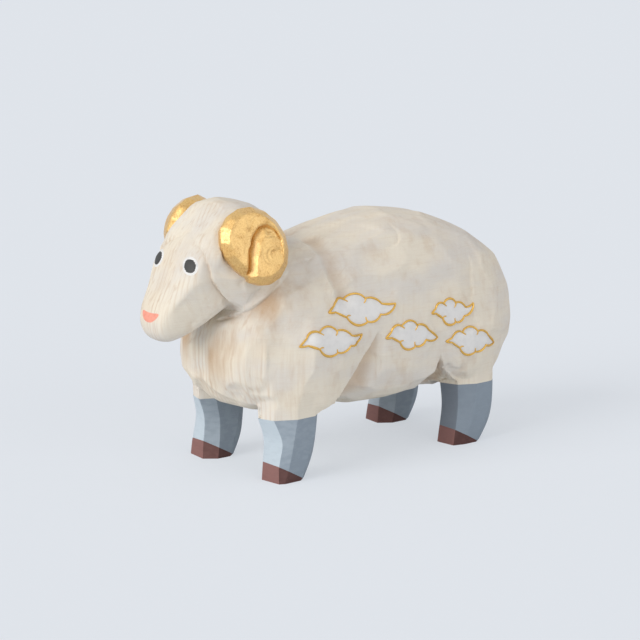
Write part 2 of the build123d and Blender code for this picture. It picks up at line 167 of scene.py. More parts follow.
# Convex edges between two broad cuts: the line, the direction that it is laid on from, one
# side of it, and on that side and the other how hollow the cut is and how far it reaches
CREASES = {
    "along the back": (
        [(0.6, -13, 58.8), (1.0, -8, 60.0), (1.4, -2, 61.3), (3.0, 4, 62.5), (5.2, 10, 63.6),
         (6.2, 16, 63.6), (7.8, 22, 62.4), (9.4, 28, 60.4), (10.5, 34, 57.0)],
        (0.45, 0, 0.9), (0.8, 0, -0.6), (0.34, 10.0), (0.10, 6.0),
    ),
    "down from the withers": (
        [(1.0, -12.4, 58.8), (5.0, -13.6, 58.6), (10.0, -14.3, 56.8), (15.0, -14.2, 52.0),
         (18.0, -13.6, 46.4), (19.0, -12.6, 42.0)],
        (0.8, 0, 0.6), (0, 1, 0), (0.85, 6.5), (0.22, 4.0),
    ),
    "between chest and flank": (
        [(13.5, -38.4, 38.0), (14.2, -38.9, 32.3), (13.8, -38.4, 28.0), (13.0, -37.6, 23.5)],
        (0.7, -0.7, 0), (0.8, 0.5, 0), (0.30, 7.0), (0.25, 6.0),
    ),
    "under the chest": (
        [(0.0, -43.8, 29.6), (1.7, -43.6, 26.5), (3.4, -41.8, 23.8), (6.8, -40.0, 22.1),
         (9.4, -36.8, 20.4)],
        (0.1, -0.9, -0.4), (0, 0.3, -1), (0.40, 5.0), (0.30, 6.0),
    ),
}
# The notch between belly and haunch: its front and its rear edge, from the top down
NOTCH = (
    [(20.4, 28.8), (20.2, 25.5), (19.4, 22.6), (17.3, 19.6), (15.2, 16.5)],
    [(20.4, 28.8), (21.2, 25.5), (22.8, 22.4), (25.8, 19.6), (28.0, 16.5)],
)
NOTCH_DEPTH = 1.7
NOTCH_BOTTOM = 14
# Where face and fleece meet, from the middle of the brow down the left cheek
CAP_EDGE = [
    (0, -45.4, 65.2), (3.5, -46.4, 62.6), (8.2, -47.3, 60.8), (10.6, -47.1, 57.5),
    (10.9, -46.6, 53.4), (10.4, -43.4, 49.2), (9.8, -39.4, 46.1), (9.4, -37.0, 45.2),
]
CAP_REACH = 3.4
CAP_SHARES = (0.15, 0.3, 0.7, 1.0, 1.0, 1.0, 0.9, 0.3)
# The profile of a hollow beside a crease, a share of its reach times the rest to a power,
# scaled so that it is about 1 at its deepest, and the width of the bank of a ledge
HOLLOW_POWER = 1.6
HOLLOW_SCALE = 5.3
BANK_WIDTH = 0.2 * MM
# The depth of a cut from which its hollow gets the full painted shade, in millimetres
FULL_SHADE_DEPTH = 1.5

# A flat chisel's cuts: how many places are tried for them. In spacings between them: how
# far one reaches and the middle part that gives it its slope. In depths: how far its plane
# lies below the surface at its middle, and the lowest and the highest that it moves the
# surface. How much each part of its direction may be off by chance
CUT_TRIES = 6000
CUT_REACH = 1.3
CUT_MIDDLE = 0.35
CUT_SINK = 0.45
CUT_DEEPEST = -1.2
CUT_HIGHEST = 0.6
CUT_TILT = 0.02
# Of two cuts, the one of lower rank takes the surface. Rank is depth, and what is added to
# it at a spacing's distance and where the wood faces elsewhere; uncut wood has its own
FAR_RANK = 2.5
TURNED_RANK = 9
UNCUT_RANK = 2.0
# Rounds of rubbing that turn the glued blocks into one soft shape, and its steps of strength
RUB_ROUNDS = 44
RUB_STEPS = 20

# Vertices closer than these are one, in a copied mesh and at bevels and saw cuts; heights
# of a leg's edge that differ by less are level
TOUCHING = 0.001 * MM
SLIVER = 0.02 * MM
LEVEL = 0.01 * MM

# The groove between the turns of a horn, from its lower end over the top, and the
# shallow line outside it, as shares of half the horn's width and height and of the depth
HORN_GROOVE = [
    (-0.36, -0.86, 1.0), (-0.29, -0.50, 1.0), (-0.23, -0.14, 1.0), (-0.10, 0.22, 0.9),
    (0.12, 0.45, 0.7), (0.36, 0.50, 0.5), (0.58, 0.37, 0.35), (0.72, 0.10, 0.2),
    (0.74, -0.2, 0.1),
]
HORN_LINE = [
    (-0.30, 0.10, 0.0), (-0.20, 0.40, 0.8), (0.04, 0.68, 1.0), (0.38, 0.76, 1.0),
    (0.68, 0.62, 0.8), (0.86, 0.36, 0.3),
]
HORN_MIDDLE = (0.50, -0.22)

# Clouds on a flank: middle along and up, half length and half height, all in millimetres,
# and how high the wisps at the front and rear end, as shares of the half height
CLOUDS = [
    (-5.74, 42.50, 10.56, 4.00, 0.10, 0.08),
    (-16.50, 35.84, 9.95, 3.76, -0.08, 0.10),
    (9.99, 33.86, 8.73, 3.88, 0.05, -0.50),
    (24.10, 38.14, 7.41, 3.52, 0.15, 0.38),
    (30.80, 29.44, 9.14, 3.84, 0.25, -0.55),
]
# The middle and the end of each arc round a cloud, from the front wisp over the top, as
# shares of its half length and height, and where the wisps of this cloud end
CLOUD_ARCS = [
    (-0.90, 0.30, -0.79, 0.45), (-0.65, 0.80, -0.42, 0.72), (-0.12, 1.03, 0.15, 0.64),
    (0.38, 0.60, 0.60, 0.18), (0.79, 0.12, 1.00, 0.19), (0.83, -0.36, 0.52, -0.48),
    (0.40, -0.78, 0.12, -0.82), (-0.15, -0.98, -0.48, -0.38), (-0.64, -0.14, -0.79, 0.09),
    (-0.90, 0.10, -1.00, 0.17),
]
CLOUD_TIPS = {"front": 0.17, "rear": 0.19}
# How far the middle and the end of an arc follow a wisp that ends higher or lower
WISP_SHARES = (
    (0, "front", 0.5, 0.0), (8, "front", 0.2, 0.5), (9, "front", 0.75, 1.0),
    (4, "rear", 0.35, 1.0), (5, "rear", 0.40, 0.0),
)
# The arcs that end in a hook, and the points on an arc and on a hook
CLOUD_HOOKS = (1, 2, 6, 7)
ARC_STEPS = 9
HOOK_STEPS = 5

# How far the top of an eye leans forwards and how high the eye is, as shares of its width
EYE_SLANT = 0.22
EYE_HEIGHT = 0.90
# The nose from the front, as shares of half its width and height
NOSE_OUTLINE = [
    (-1.00, 0.72), (-0.82, 0.92), (-0.32, 0.70), (0.32, 0.70), (0.82, 0.92),
    (1.00, 0.72), (0.72, -0.35), (0.30, -1.00), (-0.30, -1.00), (-0.72, -0.35),
]

# A wave texture of scale 1 has a band every 0.314 units; growth rings lie this many
# millimetres apart
WAVE_LENGTH = 0.314
RING_SPACING = 1.3

# Sun lamps: name, direction, strength, angle in degrees and colour
LAMPS = (
    ("key", (-0.02, -0.89, 0.44), 1.80, 40, (1.0, 0.985, 0.96)),
    ("fill", (0.93, 0.12, 0.18), 0.72, 60, (1.0, 1.0, 1.0)),
)
# The camera fitted to the sheep: its place in metres and its view in degrees
CAMERA_PLACE = (0.526983, -0.424275, 0.184849)
CAMERA_AZIMUTH = 51.393
CAMERA_ELEVATION = 12.457


def linear(hex_colour):
    """An sRGB hex colour in linear light, with full alpha."""
    values = [int(hex_colour[at:at + 2], 16) / 255 for at in (1, 3, 5)]
    return (*(v / 12.92 if v <= 0.04045 else ((v + 0.055) / 1.055) ** 2.4 for v in values), 1.0)


def length(name, description, millimetres):
    """A length that a user may change."""
    return bpy.props.FloatProperty(
        name=name, description=description, default=millimetres * MM, min=0,
        unit="LENGTH", precision=5,
    )


def colour(name, description, hex_colour):
    """A colour that a user may change."""
    return bpy.props.FloatVectorProperty(
        name=name, description=description, default=linear(hex_colour), size=4,
        min=0, max=1, subtype="COLOR",
    )


class SheepSizes(bpy.types.PropertyGroup):
    """Sizes of the carver's cuts and of the painter's lines."""
    body_grid: length("Body grid", "Spacing of the mesh that the body is carved from", 0.46)
    horn_grid: length("Horn grid", "Spacing of the mesh that the horns are carved from", 0.2)
    facet_spacing: length("Facet spacing", "Distance between chisel cuts on the body", 9.0)
    facet_depth: length("Facet depth", "Depth of the chisel cuts on the body", 0.44)
    belly_lift: length("Belly lift", "How far the belly is carved up between the legs", 1.3)
    cap_depth: length("Cap edge depth", "How far the fleece stands above the face", 0.85)
    horn_line_depth: length("Horn line depth", "Depth of the line on the outer turn", 0.35)
    eye_width: length("Eye width", "Width of the white of the eye", 4.95)
    pupil_width: length("Pupil width", "Width of the black of the eye", 4.10)
    nose_width: length("Nose width", "Width of the nose patch", 7.4)
    nose_height: length("Nose height", "Height of the nose patch", 2.9)
    gesso_height: length("Gesso height", "Height of the clouds above the wood", 0.16)
    line_width: length("Line width", "Width of the gold lines round the clouds", 0.54)


class SheepColours(bpy.types.PropertyGroup):
    """Colours of the wood, paints and leaf."""
    whitewash: colour("Whitewash", "Thin lime wash over the wood", "#E8E0CF")
    cool_wash: colour("Cool whitewash", "The wash where it is thin and greyish", "#DED9D0")
    thick_wash: colour("Thick whitewash", "Specks where the wash lies thicker", "#F0EAE0")
    grain: colour("Grain", "Growth rings that show through the wash", "#BFA07E")
    leg_paint: colour("Leg paint", "Mineral paint of the legs", "#BECAD2")
    # Painted shade: the deep leg tone stands for the shade on facets turned from the key light
    leg_painted_shade: colour("Leg paint, deep", "The same paint on side and rear facets", "#8E9AA5")
    # Painted shadow: the darkest tone stands for the shadow that belly and left front leg cast on
    # the left rear leg's front facet
    leg_painted_shadow: colour("Leg paint, darkest", "The front facet of the left rear leg", "#7C858F")
    hoof_paint: colour("Hoof paint", "Mineral paint of the hooves", "#8A6560")
    # Painted shade: the deep hoof tone stands for the shade on facets turned from the key light
    hoof_painted_shade: colour("Hoof paint, deep", "The same paint on side and rear facets", "#5A3F3C")
    gold_leaf: colour("Gold leaf", "Leaf on the horns", "#E9C17B")
    gold_shade: colour("Gold leaf, rubbed", "Leaf where the ground shows through", "#C08A36")
    gesso: colour("Gesso", "Chalk white of clouds and eyes", "#E6E5E2")
    gold_line: colour("Gold line", "Shell gold round the clouds", "#E2B45A")
    coral: colour("Coral", "Paint of the nose", "#F6A28C")
    lacquer: colour("Black", "Lacquer of the pupils", "#3A3937")
    floor: colour("Floor", "Paper that the sheep stands on", "#E2E7ED")


def make_node(tree, kind, inputs=None, output=0, **settings):
    """Adds a shader node with its settings and links, and gives one of its outputs.

    An input is given a value, or another node's output to link."""
    made = tree.nodes.new("ShaderNode" + kind)
    for name, value in settings.items():
        setattr(made, name, value)
    for name, value in (inputs or {}).items():
        if isinstance(value, bpy.types.NodeSocket):
            tree.links.new(value, made.inputs[name])
        else:
            made.inputs[name].default_value = value
    return made.outputs[output]


def new_finish(name, **shader_values):
    """A material with an empty Principled surface, and its coordinates in millimetres."""
    finish = bpy.data.materials.new(name)
    finish.use_nodes = True
    tree = finish.node_tree
    shader = tree.nodes["Principled BSDF"]
    for socket, value in shader_values.items():
        shader.inputs[socket].default_value = value
    place = make_node(tree, "TexCoord", output="Object")
    millimetres = make_node(
        tree, "VectorMath", {0: place, 1: (1 / MM,) * 3}, operation="MULTIPLY"
    )
    return finish, tree, shader, millimetres


def mottle(tree, place, size, detail=3.0, roughness=0.5):
    """Noise whose blotches have a given size in millimetres, or one size per axis."""
    sizes = size if isinstance(size, tuple) else (size,) * 3
    scaled = make_node(
        tree, "VectorMath", {0: place, 1: tuple(1 / s for s in sizes)}, operation="MULTIPLY"
    )
    return make_node(
        tree, "TexNoise",
        {"Vector": scaled, "Scale": 1.0, "Detail": detail, "Roughness": roughness},
        output="Fac",
    )


def blotches(tree, place, size, low, high, least=0.0, most=1.0, **texture):
    """Mottle stretched to a share: its least where the noise is low, its most where high."""
    return make_node(
        tree, "MapRange",
        {"Value": mottle(tree, place, size, **texture), "From Min": low, "From Max": high,
         "To Min": least, "To Max": most},
        interpolation_type="SMOOTHSTEP",
    )


def share_along(tree, vector, direction, low, high, least=0.0, most=1.0):
    """A share that runs from its least to its most with a vector's reach in a direction."""
    reach = make_node(
        tree, "VectorMath", {0: vector, 1: tuple(direction)}, output="Value",
        operation="DOT_PRODUCT",
    )
    return make_node(
        tree, "MapRange",
        {"Value": reach, "From Min": low, "From Max": high, "To Min": least, "To Max": most},
        interpolation_type="SMOOTHSTEP",
    )


def layered(tree, ground, *coats):
    """The colour of coats laid one over another on a ground.

    Each coat is its colour and the parts that add up to how much of it shows, and a part
    is a tuple of shares that are multiplied."""
    tone = ground
    for colour_over, *parts in coats:
        amount = None
        for share, *others in parts:
            for other in others:
                share = make_node(tree, "Math", {0: share, 1: other}, operation="MULTIPLY")
            if amount is not None:
                share = make_node(tree, "Math", {0: amount, 1: share}, operation="ADD")
            amount = share
        tone = make_node(
            tree, "Mix", {0: amount, 6: tone, 7: colour_over}, output=2, data_type="RGBA"
        )
    return tone


def add_relief(tree, shader, *layers):
    """Fine relief: each layer is a pattern and its real height in millimetres."""
    below = None
    for pattern, height in layers:
        inputs = {"Height": pattern, "Distance": height * MM, "Strength": 1.0}
        if below is not None:
            inputs["Normal"] = below
        below = make_node(tree, "Bump", inputs)
    tree.links.new(below, shader.inputs["Normal"])


def growth_rings(tree, place):
    """Late wood round an upright pith far behind the right flank.

    It shows as upright lines on chest and face, and hardly at all under the flank's wash."""
    upright = make_node(tree, "VectorMath", {0: place, 1: (1.0, 1.0, 0.07)}, operation="MULTIPLY")
    round_pith = make_node(tree, "VectorMath", {0: upright, 1: (60.0, 76.0, 0.0)}, operation="ADD")
    rings = make_node(
        tree, "TexWave",
        {"Vector": round_pith, "Scale": WAVE_LENGTH / RING_SPACING, "Distortion": 2.2,
         "Detail": 2.0, "Detail Scale": 0.45},
        output="Fac", wave_type="RINGS", rings_direction="Z",
    )
    return make_node(
        tree, "MapRange", {"Value": rings, "From Min": 0.5, "From Max": 1.0},
        interpolation_type="SMOOTHSTEP",
    )


def lower_neck(tree, place):
    """Shares whose product is 1 on the lower neck, just below the glued joint."""
    joint = Vector(NECK_POINT).dot(neck_normal())
    return (
        share_along(tree, place, neck_normal(), joint - 13.0, joint - 3.0),
        share_along(tree, place, (0, 0, 1), 55.0, 45.0),
        share_along(tree, place, neck_normal(), joint, joint - 1.5),
    )


def whitewashed_wood():
    """Softwood under a thin lime wash: matt, cream, with growth rings and brush marks."""
    colours = bpy.context.scene.sheep_colours
    finish, tree, shader, place = new_finish(
        "whitewashed softwood", Roughness=0.85, **{"Specular IOR Level": 0.2}
    )
    facing = make_node(tree, "NewGeometry", output="Normal")
    # The wash was rubbed thinner on chest and face, so more of the grain shows there
    rubbed = share_along(tree, facing, AHEAD, 0.2, 0.85, 0.12, 0.85)
    flank = share_along(tree, facing, AHEAD, 0.75, 0.25)
    fibres = mottle(tree, place, (0.35, 3.0, 8.0), detail=4.0, roughness=0.65)
    fibre_lines = make_node(
        tree, "MapRange", {"Value": fibres, "From Min": 0.48, "From Max": 0.78},
        interpolation_type="SMOOTHSTEP",
    )
    hollow = make_node(tree, "Attribute", output="Fac", attribute_name="hollow")
    painted_hollow_shade = make_node(
        tree, "MapRange",
        {"Value": hollow, "From Min": 0.05, "From Max": 0.9, "To Min": 0.0, "To Max": 0.46},
        interpolation_type="SMOOTHSTEP",
    )
    broad = blotches(tree, place, (8.0, 8.0, 30.0), 0.36, 0.72, detail=4.0)
    thin = blotches(tree, place, (6.0, 4.5, 6.5), 0.50, 0.75, detail=5.0, roughness=0.6)
    brush_lines = blotches(tree, place, (3.0, 7.0, 0.4), 0.48, 0.72)
    patches = blotches(tree, place, (5.0, 12.0, 26.0), 0.40, 0.66)
    tone = layered(
        tree, colours.whitewash,
        (colours.cool_wash, (blotches(tree, place, (9.0, 22.0, 9.0), 0.35, 0.68, detail=5.0),)),
        # Painted shade: the grain colour darkens the carver's cuts, the more the deeper they were
        # cut
        (colours.grain, (painted_hollow_shade,)),
        # Under the jaw, just below the glued joint, the brown is partly painted warm shade and
        # partly stain; the wash is also thin and brown in spots on flanks and back, and the brush
        # left lines along them
        (
            colours.grain, (rubbed, 0.20, broad), (*lower_neck(tree, place), 0.75, broad),
            (thin, 0.24, flank), (brush_lines, 0.08, flank),
        ),
        (colours.grain, (growth_rings(tree, place), patches, rubbed, 0.34)),
        (colours.grain, (blotches(tree, place, (0.9, 1.6, 80.0), 0.50, 0.72), rubbed, 0.38)),
        (colours.grain, (fibre_lines, share_along(tree, facing, AHEAD, 0.0, 0.7, 0.06, 0.26))),
        # Specks where the wash lies thicker
        (
            colours.thick_wash,
            (blotches(tree, place, 0.6, 0.55, 0.8, 0.0, 0.35, detail=5.0, roughness=0.7),),
        ),
    )
    tree.links.new(tone, shader.inputs["Base Color"])
    brushed = mottle(tree, place, (0.9, 4.0, 0.9), detail=5.0, roughness=0.65)
    add_relief(tree, shader, (fibres, 0.025), (brushed, 0.05))
    return finish


def mineral_paint(name, light, deep):
    """Matt mineral paint with painted shade: its light tone on the facets that face forwards,
    a deeper tone painted as shade on the side and rear ones, which turn from the key light.
    Fine brush marks run across."""
    finish, tree, shader, place = new_finish(name, Roughness=0.8, **{"Specular IOR Level": 0.25})
    facing = make_node(tree, "NewGeometry", output="True Normal")
    turned_away = share_along(tree, facing, AHEAD, 0.98, 0.25)
    uneven = blotches(tree, place, (2.4, 2.4, 1.2), 0.35, 0.7, -0.10, 0.10, detail=4.0)
    # Painted shade: the deeper tone darkens the facets that turn away from the front, where the key
    # light comes from
    painted = layered(tree, light, (deep, (turned_away,), (uneven,)))
    tree.links.new(painted, shader.inputs["Base Color"])
    strokes = mottle(tree, place, (3.0, 3.0, 0.35), detail=4.0, roughness=0.6)
    add_relief(tree, shader, (strokes, 0.06), (mottle(tree, place, 1.8), 0.08))
    return finish


def gilding():
    """Gold leaf on gesso: a soft metal sheen, fine creases, ochre where it was rubbed."""
    colours = bpy.context.scene.sheep_colours
    finish, tree, shader, place = new_finish(
        "gold leaf", Metallic=0.80, **{"Coat Weight": 0.7, "Coat Roughness": 0.32}
    )
    creases = mottle(tree, place, 0.38, detail=6.0, roughness=0.75)
    rubbed = make_node(
        tree, "MapRange", {"Value": creases, "From Min": 0.40, "From Max": 0.70},
        interpolation_type="SMOOTHSTEP",
    )
    patches = blotches(tree, place, 3.2, 0.40, 0.66)
    in_patches, roughness = (
        make_node(
            tree, "MapRange", {"Value": patches, "To Min": least, "To Max": most},
            interpolation_type="SMOOTHSTEP",
        )
        for least, most in ((0.55, 1.0), (0.42, 0.55))
    )
    leaf = layered(tree, colours.gold_leaf, (colours.gold_shade, (rubbed, in_patches)))
    tree.links.new(leaf, shader.inputs["Base Color"])
    tree.links.new(roughness, shader.inputs["Roughness"])
    add_relief(tree, shader, (creases, 0.07), (mottle(tree, place, 2.4), 0.16))
    return finish


def plain_coat(name, tone, grain_size, grain_height, dark_share=0.86, **shader_values):
    """A hand-laid coat with a slightly uneven tone and surface."""
    finish, tree, shader, place = new_finish(name, **shader_values)
    uneven = mottle(tree, place, grain_size, detail=4.0)
    shade = make_node(
        tree, "MapRange", {"Value": uneven, "From Min": 0.4, "From Max": 0.7},
        interpolation_type="SMOOTHSTEP",
    )
    darker = (*(dark_share * channel for channel in tone[:3]), 1.0)
    tree.links.new(layered(tree, tone, (darker, (shade,))), shader.inputs["Base Color"])
    add_relief(tree, shader, (uneven, grain_height))
    return finish


def dowel_wood():
    """Turned beech: pale, with short flecks along each dowel."""
    finish, tree, shader, place = new_finish("beech dowel", Roughness=0.6)
    flecks = blotches(tree, place, (0.4, 0.4, 3.0), 0.5, 0.75)
    mixed = layered(tree, linear("#D3B184"), (linear("#B48E5F"), (flecks,)))
    tree.links.new(mixed, shader.inputs["Base Color"])
    add_relief(tree, shader, (flecks, 0.03))
    return finish


def finish_piece(piece, name, finish, slot, *nodes):
    """Names a finished piece, gives it its finish and hides the nodes it stands for."""
    # The cuts' own ripple, some hundredths of a millimetre, is held inside the CAD box
    write_places(piece, np.clip(read_places(piece), *np.array(CAD_BOX)))
    piece.name = piece.data.name = name
    piece.data.materials.clear()
    piece.data.materials.append(finish)
    set_active(piece)
    bpy.ops.object.shade_smooth_by_angle(angle=radians(35))
    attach(piece, "root")
    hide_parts(*nodes)


def set_active(piece):
    """Selects one piece and nothing else."""
    bpy.ops.object.select_all(action="DESELECT")
    piece.select_set(True)
    bpy.context.view_layer.objects.active = piece


@contextmanager
def editing(piece, everything=True):
    """Edit mode on one piece, with everything selected or the selection that it has."""
    set_active(piece)
    bpy.ops.object.mode_set(mode="EDIT")
    if everything:
        bpy.ops.mesh.select_all(action="SELECT")
    yield
    bpy.ops.object.mode_set(mode="OBJECT")


def joined(first, *others):
    """Joins pieces in the first one."""
    set_active(first)
    for other in others:
        other.select_set(True)
    bpy.ops.object.join()
    return first


def copied_blank(*nodes):
    """Copies of CAD nodes, each with its loose triangles merged, joined in one object."""
    copies = []
    for node in nodes:
        copy = bpy.data.objects.new("blank", frame["nodes"][node].data.copy())
        bpy.context.scene.collection.objects.link(copy)
        with editing(copy):
            bpy.ops.mesh.remove_doubles(threshold=TOUCHING)
        copies.append(copy)
    blank = joined(*reversed(copies))
    blank.data.materials.clear()
    return blank


def apply_modifier(piece, kind, **settings):
    """Gives a piece a modifier and applies it."""
    set_active(piece)
    modifier = piece.modifiers.new(kind.lower(), kind)
    for name, value in settings.items():
        setattr(modifier, name, value)
    bpy.ops.object.modifier_apply(modifier=modifier.name)


def saw(piece, point, normal):
    """Cuts a closed piece at a plane, drops what the normal points at and closes the cut."""
    with editing(piece):
        bpy.ops.mesh.bisect(
            plane_co=point, plane_no=normal, use_fill=True, clear_outer=True, threshold=TOUCHING
        )
    return piece


def drop_slivers(piece):
    """Cuts all faces in triangles and drops those too thin to see, at bevels and saw cuts."""
    with editing(piece):
        bpy.ops.mesh.remove_doubles(threshold=SLIVER)
        bpy.ops.mesh.quads_convert_to_tris()
        bpy.ops.mesh.dissolve_degenerate(threshold=SLIVER)
        bpy.ops.mesh.quads_convert_to_tris()


def duplicate(piece):
    """A copy of a piece with its own mesh."""
    twin = piece.copy()
    twin.data = piece.data.copy()
    bpy.context.scene.collection.objects.link(twin)
    return twin


def read_places(piece):
    """The place of every vertex."""
    places = np.empty(len(piece.data.vertices) * 3, np.float32)
    piece.data.vertices.foreach_get("co", places)
    return places.reshape(-1, 3).astype(float)


def read_facing(piece):
    """The direction that every vertex faces."""
    normals = np.empty(len(piece.data.vertices) * 3, np.float32)
    piece.data.vertex_normals.foreach_get("vector", normals)
    return normals.reshape(-1, 3).astype(float)


def write_places(piece, places):
    """Moves every vertex to its new place."""
    piece.data.vertices.foreach_set("co", places.astype(np.float32).ravel())
    piece.data.update()


def soften(piece, rounds, weights=None):
    """Rubs a piece down; weights say how much at each vertex."""
    settings = {"factor": 0.5, "iterations": rounds}
    if weights is not None:
        group = piece.vertex_groups.new(name="rub")
        steps = np.round(weights * RUB_STEPS) / RUB_STEPS
        for step in np.unique(steps):
            group.add(np.flatnonzero(steps == step).tolist(), float(step), "REPLACE")
        settings["vertex_group"] = group.name
    apply_modifier(piece, "SMOOTH", **settings)
    piece.vertex_groups.clear()


def chisel(piece, seed, spacing, depth, edge, within=None):
    """Flat cuts side by side all over a piece, with edges where two of them meet.

    The smaller the edge value, the sharper these edges."""
    draw = random.Random(seed)
    places, normals = read_places(piece), read_facing(piece)
    centres = []
    for attempt in range(CUT_TRIES):
        index = draw.randrange(len(places))
        place = places[index]
        if within is not None and not within(place):
            continue
        if all(np.sum((place - places[other]) ** 2) > spacing ** 2 for other in centres):
            centres.append(index)
    # Each vertex moves to the cuts near it, by weights that fall steeply with their rank
    weights, lifts = np.full(len(places), np.exp(-UNCUT_RANK / edge)), np.zeros(len(places))
    for index in centres:
        centre = places[index]
        apart = np.sqrt(np.sum((places - centre) ** 2, axis=1)) / spacing
        near = np.flatnonzero(apart < CUT_REACH)
        facing = normals[np.flatnonzero(apart < CUT_MIDDLE)].sum(axis=0)
        facing /= np.linalg.norm(facing)
        facing += np.array([draw.uniform(-CUT_TILT, CUT_TILT) for axis in range(3)])
        facing /= np.linalg.norm(facing)
        agree = normals[near] @ facing
        plane = ((centre - places[near]) @ facing) / np.maximum(agree, 0.5)
        plane = np.clip(plane / depth - CUT_SINK, CUT_DEEPEST, CUT_HIGHEST)
        turned_away = np.clip((0.8 - agree) / 0.2, 0, 1)
        rank = plane + FAR_RANK * apart[near] ** 2 + TURNED_RANK * turned_away
        weight = np.exp(-rank / edge)
        weights[near] += weight
        lifts[near] += weight * plane * depth
    write_places(piece, places + normals * (lifts / weights)[:, None])


def distance_to_line(places, line):
    """Distance of each place from a line of points, and how far along the line it lies."""
    nearest = np.full(len(places), np.inf)
    along = np.zeros(len(places))
    for step, (start, end) in enumerate(zip(line[:-1], line[1:])):
        run = end - start
        share = np.clip((places - start) @ run / (run @ run), 0, 1)
        away = np.linalg.norm(places - start - np.outer(share, run), axis=1)
        closer = away < nearest
        nearest[closer] = away[closer]
        along[closer] = (step + share[closer]) / (len(line) - 1)
    return nearest, along


def read_along(values, along):
    """Evenly spaced values of a line, read at some shares of its length."""
    return np.interp(along, np.linspace(0, 1, len(values)), values)


def near_line(places, line, reach):
    """Which places lie near a line, how far from it, how far along it, and its nearest spot."""
    low, high = line.min(axis=0) - reach, line.max(axis=0) + reach
    near = np.flatnonzero(np.all((places > low) & (places < high), axis=1))
    away, along = distance_to_line(places[near], line)
    spots = np.array([read_along(line[:, axis], along) for axis in range(3)]).T
    return near, away, along, spots


def cut_ledge(piece, facing, line, falls, depth, reach, shares):
    """Lets the wood fall away on one side of a line on it, with a steep bank at the line."""
    places = read_places(piece)
    near, away, along, spots = near_line(places, line, 1.1 * reach)
    share = read_along(shares, along)
    falling = (places[near] - spots) @ np.array(falls) > 0
    # A shallower cut is also shorter
    wide = reach * (0.35 + 0.65 * share)
    profile = np.where(
        falling, np.clip(1 - away / wide, 0, 1) ** 1.4, np.exp(-(away / BANK_WIDTH) ** 2)
    )
    cut = depth * profile * share
    places[near] -= facing[near] * cut[:, None]
    write_places(piece, places)


def cut_crease(piece, facing, line, falls, one_side, other_side):
    """Hollows the wood on both sides of a line on it, so that an edge stays between."""
    places = read_places(piece)
    near, away, along, spots = near_line(places, line, max(one_side[1], other_side[1]) * MM)
    falling = (places[near] - spots) @ np.array(falls) > 0
    depth = np.where(falling, one_side[0], other_side[0]) * MM
    share = np.minimum(away / (np.where(falling, one_side[1], other_side[1]) * MM), 1)
    # The crease runs out over the last part of the line at each end
    ends = np.clip(np.minimum(along, 1 - along) / 0.15, 0, 1)
    cut = depth * HOLLOW_SCALE * share * (1 - share) ** HOLLOW_POWER * ends
    places[near] -= facing[near] * cut[:, None]
    write_places(piece, places)


def cut_notch(piece, facing, side):
    """Cuts the three-cornered notch between belly and haunch, with a steep bank all round."""
    places = read_places(piece)
    along, up = places[:, 1] / MM, places[:, 2] / MM
    front, rear = (np.array(edge)[::-1] for edge in NOTCH)
    ahead = along - np.interp(up, front[:, 1], front[:, 0])
    behind = np.interp(up, rear[:, 1], rear[:, 0]) - along
    top = front[-1, 1]
    on_side = (up < top) & (up > NOTCH_BOTTOM) & (places[:, 0] * side > 0)
    inside = (ahead > 0) & (behind > 0) & on_side
    # Deep at once behind the bank, deeper from the top down, and only where wood faces out
    steep = np.clip(np.minimum(ahead * 0.9, behind * 0.75) / 0.6, 0, 1)
    cut = NOTCH_DEPTH * MM * steep * np.clip((top - up) / 5.0, 0, 1)
    cut *= np.clip(facing[:, 0] * side / 0.5, 0, 1)
    places[inside] -= facing[inside] * cut[inside, None]
    write_places(piece, places)


def on_surface(piece, line, direction):
    """A line of points moved along a direction onto a piece; one that misses it stays."""
    direction = Vector(direction).normalized()
    found = []
    for point in line:
        start = Vector(point) + direction * 20 * MM
        hit, place, normal, index = piece.ray_cast(start, -direction)
        found.append(place if hit else Vector(point))
    return np.array(found)


def mirrored(points, side):
    """Places of the left side's tables in metres, on one side."""
    return [(side * x * MM, y * MM, z * MM) for x, y, z in points]


def neck_normal():
    """The direction that the glued joint of the neck faces, towards the head."""
    return Vector((0, -sin(radians(NECK_ANGLE)), cos(radians(NECK_ANGLE))))


def horn_axes(side):
    """Origin, and the directions across, up and out of a horn."""
    turn, lean = radians(HORN_TURN), radians(HORN_LEAN)
    out = Vector((side * cos(turn) * cos(lean), -sin(turn) * cos(lean), sin(lean)))
    across = Vector((side * sin(turn), cos(turn), 0))
    origin = Vector((side * HORN_POINT[0], HORN_POINT[1], HORN_POINT[2])) * MM
    return origin, across, out.cross(across) * side, out


def keep_outer_skin(piece):
    """Drops every loose shell but the one that holds the highest point."""
    with editing(piece, everything=False):
        bpy.ops.mesh.select_all(action="DESELECT")
    piece.data.vertices[int(read_places(piece)[:, 2].argmax())].select = True
    with editing(piece, everything=False):
        bpy.ops.mesh.select_mode(type="VERT")
        bpy.ops.mesh.select_linked()
        bpy.ops.mesh.select_all(action="INVERT")
        bpy.ops.mesh.delete(type="VERT")


def cut_leg_seats(torso):
    """Cuts the roots of the legs off level, each inside its own leg's box."""
    cutters = []
    margin = Vector((1.2 * MM, 1.2 * MM, 0))
    for leg in LEGS:
        for side in SIDES:
            low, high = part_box(f"leg_{leg}_{side}")
            bpy.ops.object.select_all(action="DESELECT")
            bpy.ops.mesh.primitive_cube_add(size=1)
            cutter = bpy.context.object
            bottom, top = low - margin, high + margin
            bottom.z, top.z = -5 * MM, SEAT_HEIGHT * MM
            middle, extent = (bottom + top) / 2, top - bottom
            for vertex in cutter.data.vertices:
                vertex.co = middle + Vector(a * b for a, b in zip(vertex.co, extent))
            cutters.append(cutter)
    block = joined(*reversed(cutters))
    apply_modifier(torso, "BOOLEAN", operation="DIFFERENCE", object=block, solver="MANIFOLD")
    bpy.data.objects.remove(block)


